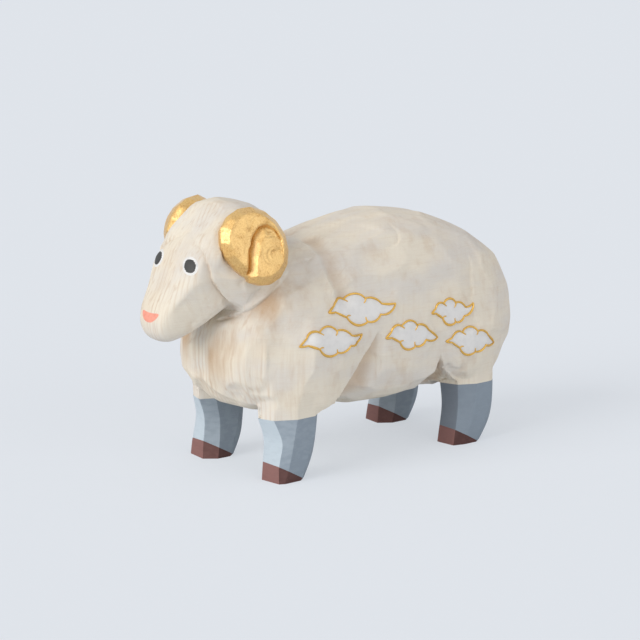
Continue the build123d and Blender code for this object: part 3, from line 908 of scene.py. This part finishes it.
def rounded_line(points, rounds=3):
    """An open line with its corners cut off again and again."""
    points = [Vector(point) for point in points]
    for repeat in range(rounds):
        cut = [points[0]]
        for start, end in zip(points, points[1:]):
            cut += [start.lerp(end, 0.25), start.lerp(end, 0.75)]
        points = cut + [points[-1]]
    return points


def traced(piece, line, towards, side):
    """A line of the left side's tables, rounded and laid on a piece on one side."""
    smooth = np.array(rounded_line(mirrored(line, side)))
    return on_surface(piece, smooth, (side * towards[0], *towards[1:]))


class SHEEP_OT_carve_body(bpy.types.Operator):
    """Carves torso and head from one blank, then saws them apart at the neck"""
    bl_idname = "sheep.carve_body"
    bl_label = "Carve Body"

    def execute(self, context):
        sizes = context.scene.sheep_sizes
        blank = self.whole_blank(sizes.body_grid)
        # The legs' roots keep their facets, the barrel and the head are rubbed round
        up = read_places(blank)[:, 2] / MM
        soften(blank, RUB_ROUNDS, np.clip(0.3 + (up - ROOT_TOP) / 14, 0.3, 1.0))
        facing = read_facing(blank)
        chisel(
            blank, seed=11, spacing=sizes.facet_spacing, depth=sizes.facet_depth, edge=0.28,
            within=lambda place: place[2] > ROOT_TOP * MM and place[1] > FACE_REAR * MM,
        )
        soften(blank, 1)
        self.lift_belly(blank, sizes.belly_lift)
        for side in SIDES.values():
            for leg in LEGS:
                self.square_root(blank, leg, side)
        before = read_places(blank)
        for side in SIDES.values():
            self.cut_lines(blank, facing, side, sizes.cap_depth)
        self.mark_hollows(blank, np.sum((before - read_places(blank)) * facing, axis=1))
        wood = whitewashed_wood()
        neck = Vector(NECK_POINT) * MM
        head = saw(duplicate(blank), neck, -neck_normal())
        torso = saw(blank, neck, neck_normal())
        cut_leg_seats(torso)
        drop_slivers(torso)
        finish_piece(torso, "carved_torso", wood, "white_wood", "torso")
        finish_piece(head, "carved_head", wood, "white_wood", "head")
        return {"FINISHED"}

    def whole_blank(self, grid):
        """Torso, head, legs and what closes their holes, in one skin of evenly spaced faces."""
        dowels = ["neck_dowel"] + [f"leg_dowel_{leg}_{side}" for leg in LEGS for side in SIDES]
        limbs = [f"leg_{leg}_{side}" for leg in LEGS for side in SIDES]
        blank = copied_blank("torso", "head", *limbs, *dowels)
        for name, side in SIDES.items():
            origin, across, up, out = horn_axes(side)
            plug = copied_blank(f"horn_{name}", f"horn_dowel_{name}")
            joined(blank, saw(plug, origin + 0.5 * MM * out, out))
        apply_modifier(blank, "REMESH", mode="VOXEL", voxel_size=grid)
        keep_outer_skin(blank)
        return blank

    def lift_belly(self, blank, lift):
        """Lifts the belly a little between the legs."""
        places = read_places(blank)
        along, up = places[:, 1] / MM, places[:, 2] / MM
        share = np.clip((along + 15) / 9, 0, 1) * np.clip((29 - along) / 7, 0, 1)
        share *= np.clip((25 - up) / 9, 0, 1) * np.clip(21 - np.abs(places[:, 0]) / MM, 0, 1)
        places[:, 2] += lift * share
        write_places(blank, places)

    def square_root(self, blank, leg, side):
        """Squares the root of a leg to the outline of the leg's top."""
        places, normals = read_places(blank), read_facing(blank)
        corners = np.array(LEG_LEVELS[leg][-1][1]) * (side, 1) * MM
        outline = np.append(corners, corners[:1], axis=0)
        up = places[:, 2] / MM
        near = np.flatnonzero((up > 11) & (up < ROOT_END) & (np.abs(normals[:, 2]) < 0.9))
        away, along = distance_to_line(places[near, :2], outline)
        spots = np.array([read_along(outline[:, axis], along) for axis in (0, 1)]).T
        outwards = spots - corners.mean(axis=0)
        outwards /= np.linalg.norm(outwards, axis=1)[:, None]
        outer = np.clip((np.sum(outwards * normals[near, :2], axis=1) - 0.45) / 0.3, 0, 1)
        share = np.clip((ROOT_END - up[near]) / 5, 0, 1)
        share *= np.clip((2.6 * MM - away) / (1.4 * MM), 0, 1)
        places[near, :2] += (spots - places[near, :2]) * (share * outer)[:, None]
        write_places(blank, places)

    def cut_lines(self, blank, facing, side, cap_depth):
        """Cuts creases, ledges, the edge of the fleece and the notch on one side."""
        for line, towards, falls, one_side, other_side in CREASES.values():
            falls = (side * falls[0], *falls[1:])
            edge = traced(blank, line, towards, side)
            cut_crease(blank, facing, edge, falls, one_side, other_side)
        for line, towards, falls, depth, reach, shares in LEDGES.values():
            falls = (side * falls[0], *falls[1:])
            edge = traced(blank, line, towards, side)
            cut_ledge(blank, facing, edge, falls, depth * MM, reach * MM, shares)
        edge = traced(blank, CAP_EDGE, (0.55, -0.8, 0.15), side)
        cut_ledge(blank, facing, edge, (0, -0.8, -0.6), cap_depth, CAP_REACH * MM, CAP_SHARES)
        cut_notch(blank, facing, side)

    def mark_hollows(self, blank, cut):
        """Keeps how deep each spot was cut, for the painted shade in the hollows."""
        hollow = blank.data.attributes.new("hollow", "FLOAT", "POINT")
        depth = np.clip(cut / (FULL_SHADE_DEPTH * MM), 0, 1)
        hollow.data.foreach_set("value", depth.astype(np.float32))


def leg_block(levels):
    """A leg with crisp edges between facets that run down it in a smooth curve."""
    height = levels[-1][0] * MM
    bpy.ops.object.select_all(action="DESELECT")
    bpy.ops.mesh.primitive_cylinder_add(
        vertices=8, radius=5 * MM, depth=height, location=(0, 0, 0), end_fill_type="NGON"
    )
    block = bpy.context.object
    last = len(levels) - 1
    with editing(block):
        for number in range(1, last):
            bpy.ops.mesh.select_all(action="SELECT")
            bpy.ops.mesh.bisect(
                plane_co=(0, 0, height * (number / last - 0.5)), plane_no=(0, 0, 1)
            )
    for vertex in block.data.vertices:
        up, corners = levels[round((vertex.co.z / height + 0.5) * last)]
        # The first corner of the table lies at the front on the inner side
        turn = (atan2(vertex.co.y, vertex.co.x) + 5 * pi / 8) / (pi / 4)
        x, y = corners[round(turn - 0.01) % 8]
        vertex.co = Vector((x, y, up)) * MM
    # Upright edges and those of both ends stay crisp
    crease = block.data.attributes.new("crease_edge", "FLOAT", "EDGE")
    for edge in block.data.edges:
        low, high = sorted(block.data.vertices[index].co.z for index in edge.vertices)
        if high - low > LEVEL or low < LEVEL or low > height - LEVEL:
            crease.data[edge.index].value = 1.0
    apply_modifier(block, "SUBSURF", levels=3, render_levels=3)
    return block


def mirrored_twin(piece):
    """A copy of a left piece for the right side, with its faces turned outwards again."""
    twin = duplicate(piece)
    write_places(twin, read_places(twin) * (-1, 1, 1))
    with editing(twin):
        bpy.ops.mesh.flip_normals()
    return twin


class SHEEP_OT_carve_legs(bpy.types.Operator):
    """Carves each leg with its hoof, then parts them along the slanting top of the hoof"""
    bl_idname = "sheep.carve_legs"
    bl_label = "Carve Legs"

    def execute(self, context):
        colours = context.scene.sheep_colours
        # Each paint below has painted shade on its side and rear facets
        leg_paint = mineral_paint("blue-grey mineral paint", colours.leg_paint, colours.leg_painted_shade)
        # Painted shadow: this paint darkens the front facet of the left rear leg, which lies in the
        # shadow of belly and front leg
        shadowed_leg_paint = mineral_paint(
            "blue-grey mineral paint, deep", colours.leg_painted_shadow, colours.leg_painted_shade
        )
        hoof_paint = mineral_paint("brown mineral paint", colours.hoof_paint, colours.hoof_painted_shade)
        for leg in LEGS:
            block = leg_block(LEG_LEVELS[leg])
            toe = LEG_LEVELS[leg][0][1][0][1] * MM
            point = (0, toe, HOOF_HEIGHT * MM)
            slant = Vector((0, HOOF_HEIGHT, HOOF_LENGTH)).normalized()
            hoof = saw(duplicate(block), point, slant)
            shank = saw(block, point, -slant)
            # The left rear leg gets the painted shadow on its front facet
            left_paint = shadowed_leg_paint if leg == "rear" else leg_paint
            for piece, kind, finishes, slot in (
                (shank, "leg", (left_paint, leg_paint), "blue_grey_wood"),
                (hoof, "hoof", (hoof_paint, hoof_paint), "brown_wood"),
            ):
                apply_modifier(
                    piece, "BEVEL", width=0.12 * MM, segments=2, limit_method="ANGLE",
                    angle_limit=radians(14),
                )
                drop_slivers(piece)
                made = (piece, mirrored_twin(piece))
                for side, part, finish in zip(SIDES, made, finishes):
                    name = f"{kind}_{leg}_{side}"
                    finish_piece(part, f"carved_{name}", finish, slot, name)
        return {"FINISHED"}


class SHEEP_OT_carve_horns(bpy.types.Operator):
    """Carves and gilds both horns, with the groove between their turns"""
    bl_idname = "sheep.carve_horns"
    bl_label = "Carve Horns"

    def execute(self, context):
        sizes = context.scene.sheep_sizes
        leaf = gilding()
        for side_name, side in SIDES.items():
            horn = copied_blank(f"horn_{side_name}", f"horn_dowel_{side_name}")
            apply_modifier(horn, "REMESH", mode="VOXEL", voxel_size=sizes.horn_grid)
            keep_outer_skin(horn)
            soften(horn, 3)
            self.carve_turns(horn, side, sizes.horn_line_depth)
            chisel(horn, seed=5, spacing=3.2 * MM, depth=0.11 * MM, edge=0.15)
            soften(horn, 1)
            finish_piece(horn, f"gilded_horn_{side_name}", leaf, "gilded_wood", f"horn_{side_name}")
        return {"FINISHED"}

    def carve_turns(self, horn, side, line_depth):
        """Widens the inner bank of the groove, cuts the shallow line and dishes the middle."""
        origin, across, up, out = horn_axes(side)
        places = read_places(horn)
        local = (places - np.array(origin)) @ np.array([across, up, out]).T
        flat, raised = local[:, :2], local[:, 2]
        face = np.clip((read_facing(horn) @ np.array(out) - 0.3) / 0.3, 0, 1)
        scale = np.array([HORN_HALF_WIDTH, HORN_HALF_HEIGHT]) * MM

        table = np.array(HORN_GROOVE)
        groove = table[:, :2] * scale
        away, along = distance_to_line(flat, groove)
        steps = np.minimum((along * (len(groove) - 1)).astype(int), len(groove) - 2)
        runs, back = groove[1:] - groove[:-1], flat - groove[steps]
        inside = runs[steps, 1] * back[:, 0] - runs[steps, 0] * back[:, 1] > 0
        strength = read_along(table[:, 2], along)
        bank = np.where(inside, np.clip(1 - away / (2.4 * MM), 0, 1), 0)
        cut = np.clip(raised - (HORN_THICKNESS * MM - 1.95 * MM * strength * bank), 0, None)
        cut += 0.4 * MM * strength * np.exp(-(away / (0.4 * MM)) ** 2)

        table = np.array(HORN_LINE)
        away, along = distance_to_line(flat, table[:, :2] * scale)
        cut += line_depth * read_along(table[:, 2], along) * np.exp(-(away / (0.45 * MM)) ** 2)

        # A shallow dish in the middle of the coil, with the gouge's small turns round it
        from_middle = flat - np.array(HORN_MIDDLE) * scale
        radius = np.linalg.norm(from_middle, axis=1)
        cut += 0.35 * MM * np.exp(-(radius / (2.0 * MM)) ** 2)
        spiral = np.sin(radius * 2 * pi / (1.3 * MM) + np.arctan2(*from_middle.T))
        cut += 0.09 * MM * (1 + spiral) * np.exp(-(radius / (4 * MM)) ** 2)
        write_places(horn, places - (cut * face)[:, None] * np.array(out))


def flat_patch(outline, cell):
    """A flat piece with a given outline, in triangles no wider than a cell."""
    turns = zip(outline, outline[1:] + outline[:1])
    if sum(x * next_y - next_x * y for (x, y), (next_x, next_y) in turns) < 0:
        outline = outline[::-1]
    bpy.ops.object.select_all(action="DESELECT")
    bpy.ops.mesh.primitive_circle_add(
        vertices=len(outline), radius=5 * MM, fill_type="NGON", location=(0, 0, 0)
    )
    patch = bpy.context.object
    for vertex, (x, y) in zip(patch.data.vertices, outline):
        vertex.co = (x, y, 0.0)
    with editing(patch):
        for axis, normal in ((0, (1, 0, 0)), (1, (0, 1, 0))):
            low = min(point[axis] for point in outline)
            extent = max(point[axis] for point in outline) - low
            cuts = int(extent / cell)
            for number in range(1, cuts + 1):
                at = [0.0, 0.0, 0.0]
                at[axis] = low + extent * number / (cuts + 1)
                bpy.ops.mesh.select_all(action="SELECT")
                bpy.ops.mesh.bisect(plane_co=at, plane_no=normal, threshold=0.002 * MM)
        bpy.ops.mesh.select_all(action="SELECT")
        bpy.ops.mesh.quads_convert_to_tris()
    return patch


def laid_patch(wood, outline, plane, cell, height, edge):
    """A raised coat on the wood inside an outline, high in the middle and thin at its rim.

    The outline lies in a plane given by its origin and its directions across and up."""
    origin, across, up = plane
    out = across.cross(up)
    patch = flat_patch(outline, cell)
    flat = read_places(patch)
    away, along = distance_to_line(flat[:, :2], np.array(outline + outline[:1]))
    lift = height * np.clip(away / edge, 0, 1) ** 0.5
    places = []
    for (x, y, level), rise in zip(flat, lift):
        start = origin + across * x + up * y + out * 12 * MM
        hit, place, normal, index = wood.ray_cast(start, -out)
        if not hit:
            raise RuntimeError("a painted patch misses the wood")
        places.append(place + out * rise)
    write_places(patch, np.array(places))
    apply_modifier(patch, "SOLIDIFY", thickness=0.3 * MM, offset=-1.0)
    return patch


def eye_outline(width, count=56):
    """A round spot, a little lower than wide, whose top leans forwards."""
    turns = [2 * pi * step / count for step in range(count)]
    return [
        (width / 2 * (cos(turn) - EYE_SLANT * sin(turn)), width / 2 * EYE_HEIGHT * sin(turn))
        for turn in turns
    ]


class SHEEP_OT_paint_eyes(bpy.types.Operator):
    """Lays the white and the black of each eye on the head"""
    bl_idname = "sheep.paint_eyes"
    bl_label = "Paint Eyes"

    def execute(self, context):
        sizes, colours = context.scene.sheep_sizes, context.scene.sheep_colours
        head = bpy.data.objects["carved_head"]
        chalk = plain_coat("chalk gesso, eyes", colours.gesso, 1.2, 0.02, Roughness=0.6)
        black = plain_coat("black lacquer", colours.lacquer, 1.0, 0.02, Roughness=0.55)
        turn, tilt = radians(EYE_TURN), radians(EYE_TILT)
        for side_name, side in SIDES.items():
            low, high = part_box(f"eye_white_{side_name}")
            across = Vector((cos(turn), side * sin(turn), 0))
            out = Vector((side * sin(turn) * cos(tilt), -cos(turn) * cos(tilt), sin(tilt)))
            plane = ((low + high) / 2, across, out.cross(across))
            for name, width, finish, slot, height in (
                ("eye_white", sizes.eye_width, chalk, "white_gesso", 0.14 * MM),
                ("pupil", sizes.pupil_width, black, "black_lacquer", 0.30 * MM),
            ):
                patch = laid_patch(
                    head, eye_outline(width), plane, cell=0.5 * MM, height=height, edge=0.9 * MM
                )
                node = f"{name}_{side_name}"
                finish_piece(patch, f"painted_{node}", finish, slot, node)
        return {"FINISHED"}


def rounded(outline, rounds=3):
    """A closed outline with its corners cut off again and again."""
    points = list(outline)
    for repeat in range(rounds):
        cut = []
        for (x, y), (next_x, next_y) in zip(points, points[1:] + points[:1]):
            cut.append((0.75 * x + 0.25 * next_x, 0.75 * y + 0.25 * next_y))
            cut.append((0.25 * x + 0.75 * next_x, 0.25 * y + 0.75 * next_y))
        points = cut
    return points


class SHEEP_OT_paint_nose(bpy.types.Operator):
    """Lays the coral patch of the nose on the muzzle"""
    bl_idname = "sheep.paint_nose"
    bl_label = "Paint Nose"

    def execute(self, context):
        sizes, colours = context.scene.sheep_sizes, context.scene.sheep_colours
        head = bpy.data.objects["carved_head"]
        coral = plain_coat("coral mineral paint", colours.coral, 1.0, 0.03, Roughness=0.7)
        low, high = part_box("nose")
        tilt = radians(NOSE_TILT)
        across = Vector((1, 0, 0))
        plane = ((low + high) / 2, across, Vector((0, -cos(tilt), sin(tilt))).cross(across))
        outline = [
            (x * sizes.nose_width / 2, y * sizes.nose_height / 2) for x, y in rounded(NOSE_OUTLINE)
        ]
        patch = laid_patch(
            head, outline, plane, cell=0.5 * MM, height=0.16 * MM, edge=0.5 * MM
        )
        finish_piece(patch, "painted_nose", coral, "coral_paint", "nose")
        return {"FINISHED"}


def arc_points(start, middle, end, steps):
    """Points along the arc through three places that don't lie on a line, without its start."""
    (ax, ay), (bx, by), (cx, cy) = start, middle, end
    cross = 2 * (ax * (by - cy) + bx * (cy - ay) + cx * (ay - by))
    aa, bb, cc = ax * ax + ay * ay, bx * bx + by * by, cx * cx + cy * cy
    ox = (aa * (by - cy) + bb * (cy - ay) + cc * (ay - by)) / cross
    oy = (aa * (cx - bx) + bb * (ax - cx) + cc * (bx - ax)) / cross
    radius = ((ax - ox) ** 2 + (ay - oy) ** 2) ** 0.5
    first, mid, last = (atan2(y - oy, x - ox) for x, y in (start, middle, end))
    sweep = (last - first) % (2 * pi)
    if (mid - first) % (2 * pi) > sweep:
        sweep -= 2 * pi
    turns = [first + sweep * step / steps for step in range(1, steps + 1)]
    return [(ox + radius * cos(turn), oy + radius * sin(turn)) for turn in turns]


def cloud_arcs(cloud):
    """The arcs of one cloud, as lists of points along the flank and up."""
    along, up, half_length, half_height, front_tip, rear_tip = cloud
    arcs = [list(arc) for arc in CLOUD_ARCS]
    lifts = {"front": front_tip - CLOUD_TIPS["front"], "rear": rear_tip - CLOUD_TIPS["rear"]}
    for arc, wisp, middle_share, end_share in WISP_SHARES:
        arcs[arc][1] += middle_share * lifts[wisp]
        arcs[arc][3] += end_share * lifts[wisp]
    spots = [
        [((along + x * half_length) * MM, (up + y * half_height) * MM)
         for x, y in (arc[:2], arc[2:])]
        for arc in arcs
    ]
    start, made = spots[-1][1], []
    for middle, end in spots:
        made.append([start] + arc_points(start, middle, end, ARC_STEPS))
        start = end
    return made


def brushed_line(wood, side, strokes, half_width, rise):
    """Raised lines on a flank: each stroke is a list of places and shares of the width."""
    data = bpy.data.curves.new("line", "CURVE")
    data.dimensions = "3D"
    data.bevel_depth = half_width
    data.bevel_resolution = 2
    data.use_fill_caps = True
    for stroke in strokes:
        spline = data.splines.new("POLY")
        spline.points.add(len(stroke) - 1)
        for point, (along, up, share) in zip(spline.points, stroke):
            start = Vector((side * 40 * MM, along, up))
            hit, place, normal, index = wood.ray_cast(start, Vector((-side, 0, 0)))
            if not hit:
                raise RuntimeError("a cloud line misses the flank")
            point.co = (*(place + normal * rise), 1.0)
            point.radius = share
    line = bpy.data.objects.new("line", data)
    bpy.context.scene.collection.objects.link(line)
    set_active(line)
    bpy.ops.object.convert(target="MESH")
    return bpy.context.view_layer.objects.active


class SHEEP_OT_draw_clouds(bpy.types.Operator):
    """Lays the white clouds on both flanks and draws their gold outlines"""
    bl_idname = "sheep.draw_clouds"
    bl_label = "Draw Clouds"

    def execute(self, context):
        sizes, colours = context.scene.sheep_sizes, context.scene.sheep_colours
        torso = bpy.data.objects["carved_torso"]
        chalk = plain_coat("chalk gesso, clouds", colours.gesso, 1.8, 0.03, 0.94, Roughness=0.8)
        gold = plain_coat(
            "shell gold line", colours.gold_line, 0.6, 0.03, Roughness=0.42, Metallic=0.75
        )
        for side_name, side in SIDES.items():
            plane = (Vector((side * 25 * MM, 0, 0)), Vector((0, side, 0)), Vector((0, 0, 1)))
            fills, strokes = [], []
            for number, cloud in enumerate(CLOUDS):
                arcs = cloud_arcs(cloud)
                outline = [(side * y, z) for arc in arcs for y, z in arc[1:]]
                fill = laid_patch(
                    torso, outline, plane, cell=0.7 * MM, height=sizes.gesso_height,
                    edge=0.5 * MM,
                )
                fills.append(fill)
                strokes += self.outline_strokes(arcs, cloud, number)
            finish_piece(
                joined(*fills), f"cloud_gesso_{side_name}", chalk, "white_gesso",
                f"cloud_fill_{side_name}",
            )
            line = brushed_line(
                torso, side, strokes, half_width=sizes.line_width / 2, rise=0.13 * MM
            )
            finish_piece(
                line, f"cloud_outline_{side_name}", gold, "gold_line", f"cloud_line_{side_name}"
            )
        return {"FINISHED"}

    def outline_strokes(self, arcs, cloud, seed):
        """One stroke per arc, full in its middle, and a short hook inwards at some notches."""
        draw = random.Random(seed)
        middle = Vector((cloud[0], cloud[1])) * MM
        strokes = []
        for index, arc in enumerate(arcs):
            swell = draw.uniform(0.15, 0.45)
            last = len(arc) - 1
            stroke = [
                (y, z, 0.82 + swell * sin(pi * step / last)) for step, (y, z) in enumerate(arc)
            ]
            if index in CLOUD_HOOKS:
                stroke += self.hook(arc, middle, draw.uniform(1.0, 1.5) * MM)
            strokes.append(stroke)
        return strokes

    def hook(self, arc, middle, reach):
        """The end of a stroke that leaves its arc, turns to the middle of the cloud and thins."""
        end = Vector(arc[-1])
        run = (end - Vector(arc[-2])).normalized()
        inward = (middle - end).normalized()
        points = []
        for step in range(1, HOOK_STEPS + 1):
            share = step / HOOK_STEPS
            direction = (run * (1 - share) + inward * (0.6 + share)).normalized()
            spot = end + direction * reach * share
            points.append((spot.x, spot.y, 0.85 - 0.25 * share))
        return points


class SHEEP_OT_fit_dowels(bpy.types.Operator):
    """Gives the dowels inside the carving their wood"""
    bl_idname = "sheep.fit_dowels"
    bl_label = "Fit Dowels"

    def execute(self, context):
        beech = dowel_wood()
        for name, dowel in frame["nodes"].items():
            if "dowel" in name:
                dowel.data.materials.clear()
                dowel.data.materials.append(beech)
        return {"FINISHED"}


class SHEEP_OT_set_stage(bpy.types.Operator):
    """Lays the pale floor and sets up the studio light and the camera"""
    bl_idname = "sheep.set_stage"
    bl_label = "Set Stage"

    def execute(self, context):
        bpy.ops.object.select_all(action="DESELECT")
        bpy.ops.mesh.primitive_plane_add(size=8.0, location=(0, 0, 0))
        floor = context.object
        floor.name = "paper_floor"
        floor.data.materials.append(self.paper(context.scene.sheep_colours.floor))
        context.scene.world = self.studio()
        for name, towards, strength, angle, tone in LAMPS:
            bpy.ops.object.light_add(type="SUN", location=Vector(towards) * 0.6)
            lamp = context.object
            lamp.name = name
            lamp.data.energy = strength
            lamp.data.angle = radians(angle)
            lamp.data.color = tone
            lamp.rotation_euler = Vector(towards).to_track_quat("Z", "Y").to_euler()
        bpy.ops.object.camera_add(
            location=CAMERA_PLACE,
            rotation=(radians(90 - CAMERA_ELEVATION), 0, radians(CAMERA_AZIMUTH)),
        )
        camera = context.object
        camera.data.sensor_width = 36.0
        camera.data.lens = 146.25
        camera.data.clip_start = 0.01
        context.scene.camera = camera
        context.scene.view_settings.view_transform = "Standard"
        return {"FINISHED"}

    def seen_directly(self, tree):
        """1 for rays from the camera, straight or by a mirror or glass, else 0."""
        seen = make_node(tree, "LightPath", output="Is Camera Ray")
        for other in ("Is Glossy Ray", "Is Transmission Ray"):
            ray = make_node(tree, "LightPath", output=other)
            seen = make_node(tree, "Math", {0: seen, 1: ray}, operation="MAXIMUM")
        return seen

    def paper(self, tone):
        """White backdrop paper, lit from behind as well, which keeps its shadows soft."""
        paper, tree, shader = new_finish(
            "white paper", Roughness=0.95, **{"Specular IOR Level": 0.0, "Base Color": tone}
        )[:3]
        glow = make_node(tree, "Emission", {"Color": tone, "Strength": 1.06})
        share = make_node(
            tree, "Math", {0: self.seen_directly(tree), 1: 0.6}, operation="MULTIPLY"
        )
        mixed = make_node(tree, "MixShader", {0: share, 1: shader.outputs[0], 2: glow})
        tree.links.new(mixed, tree.nodes["Material Output"].inputs["Surface"])
        return paper

    def studio(self):
        """A world that lights the sheep at a plain level and shows a pale backdrop."""
        world = bpy.data.worlds.new("studio")
        world.use_nodes = True
        tree = world.node_tree
        tree.nodes.remove(tree.nodes["Background"])
        ambient = make_node(
            tree, "Background", {"Color": (0.99, 0.975, 1.0, 1.0), "Strength": 0.55}
        )
        backdrop = make_node(tree, "Background", {"Color": linear("#E4E9EF"), "Strength": 1.0})
        mixed = make_node(
            tree, "MixShader", {0: self.seen_directly(tree), 1: ambient, 2: backdrop}
        )
        tree.links.new(mixed, tree.nodes["World Output"].inputs["Surface"])
        return world


STEPS = (
    SHEEP_OT_carve_body, SHEEP_OT_carve_legs, SHEEP_OT_carve_horns, SHEEP_OT_paint_eyes,
    SHEEP_OT_paint_nose, SHEEP_OT_draw_clouds, SHEEP_OT_fit_dowels, SHEEP_OT_set_stage,
)


class SHEEP_PT_panel(bpy.types.Panel):
    """Sizes, colours and steps of the carved sheep"""
    bl_label = "Carved Sheep"
    bl_idname = "SHEEP_PT_panel"
    bl_space_type = "VIEW_3D"
    bl_region_type = "UI"
    bl_category = "Sheep"

    def draw(self, context):
        for group in (context.scene.sheep_sizes, context.scene.sheep_colours):
            box = self.layout.box()
            for name in group.__annotations__:
                box.prop(group, name)
        for step in STEPS:
            self.layout.operator(step.bl_idname)


CLASSES = (SheepSizes, SheepColours, *STEPS, SHEEP_PT_panel)


def register():
    for made in CLASSES:
        bpy.utils.register_class(made)
    bpy.types.Scene.sheep_sizes = bpy.props.PointerProperty(type=SheepSizes)
    bpy.types.Scene.sheep_colours = bpy.props.PointerProperty(type=SheepColours)


def unregister():
    del bpy.types.Scene.sheep_colours
    del bpy.types.Scene.sheep_sizes
    for made in reversed(CLASSES):
        bpy.utils.unregister_class(made)


def main():
    register()
    for step in STEPS:
        group, name = step.bl_idname.split(".")
        getattr(getattr(bpy.ops, group), name)()


if __name__ == "__main__":
    main()
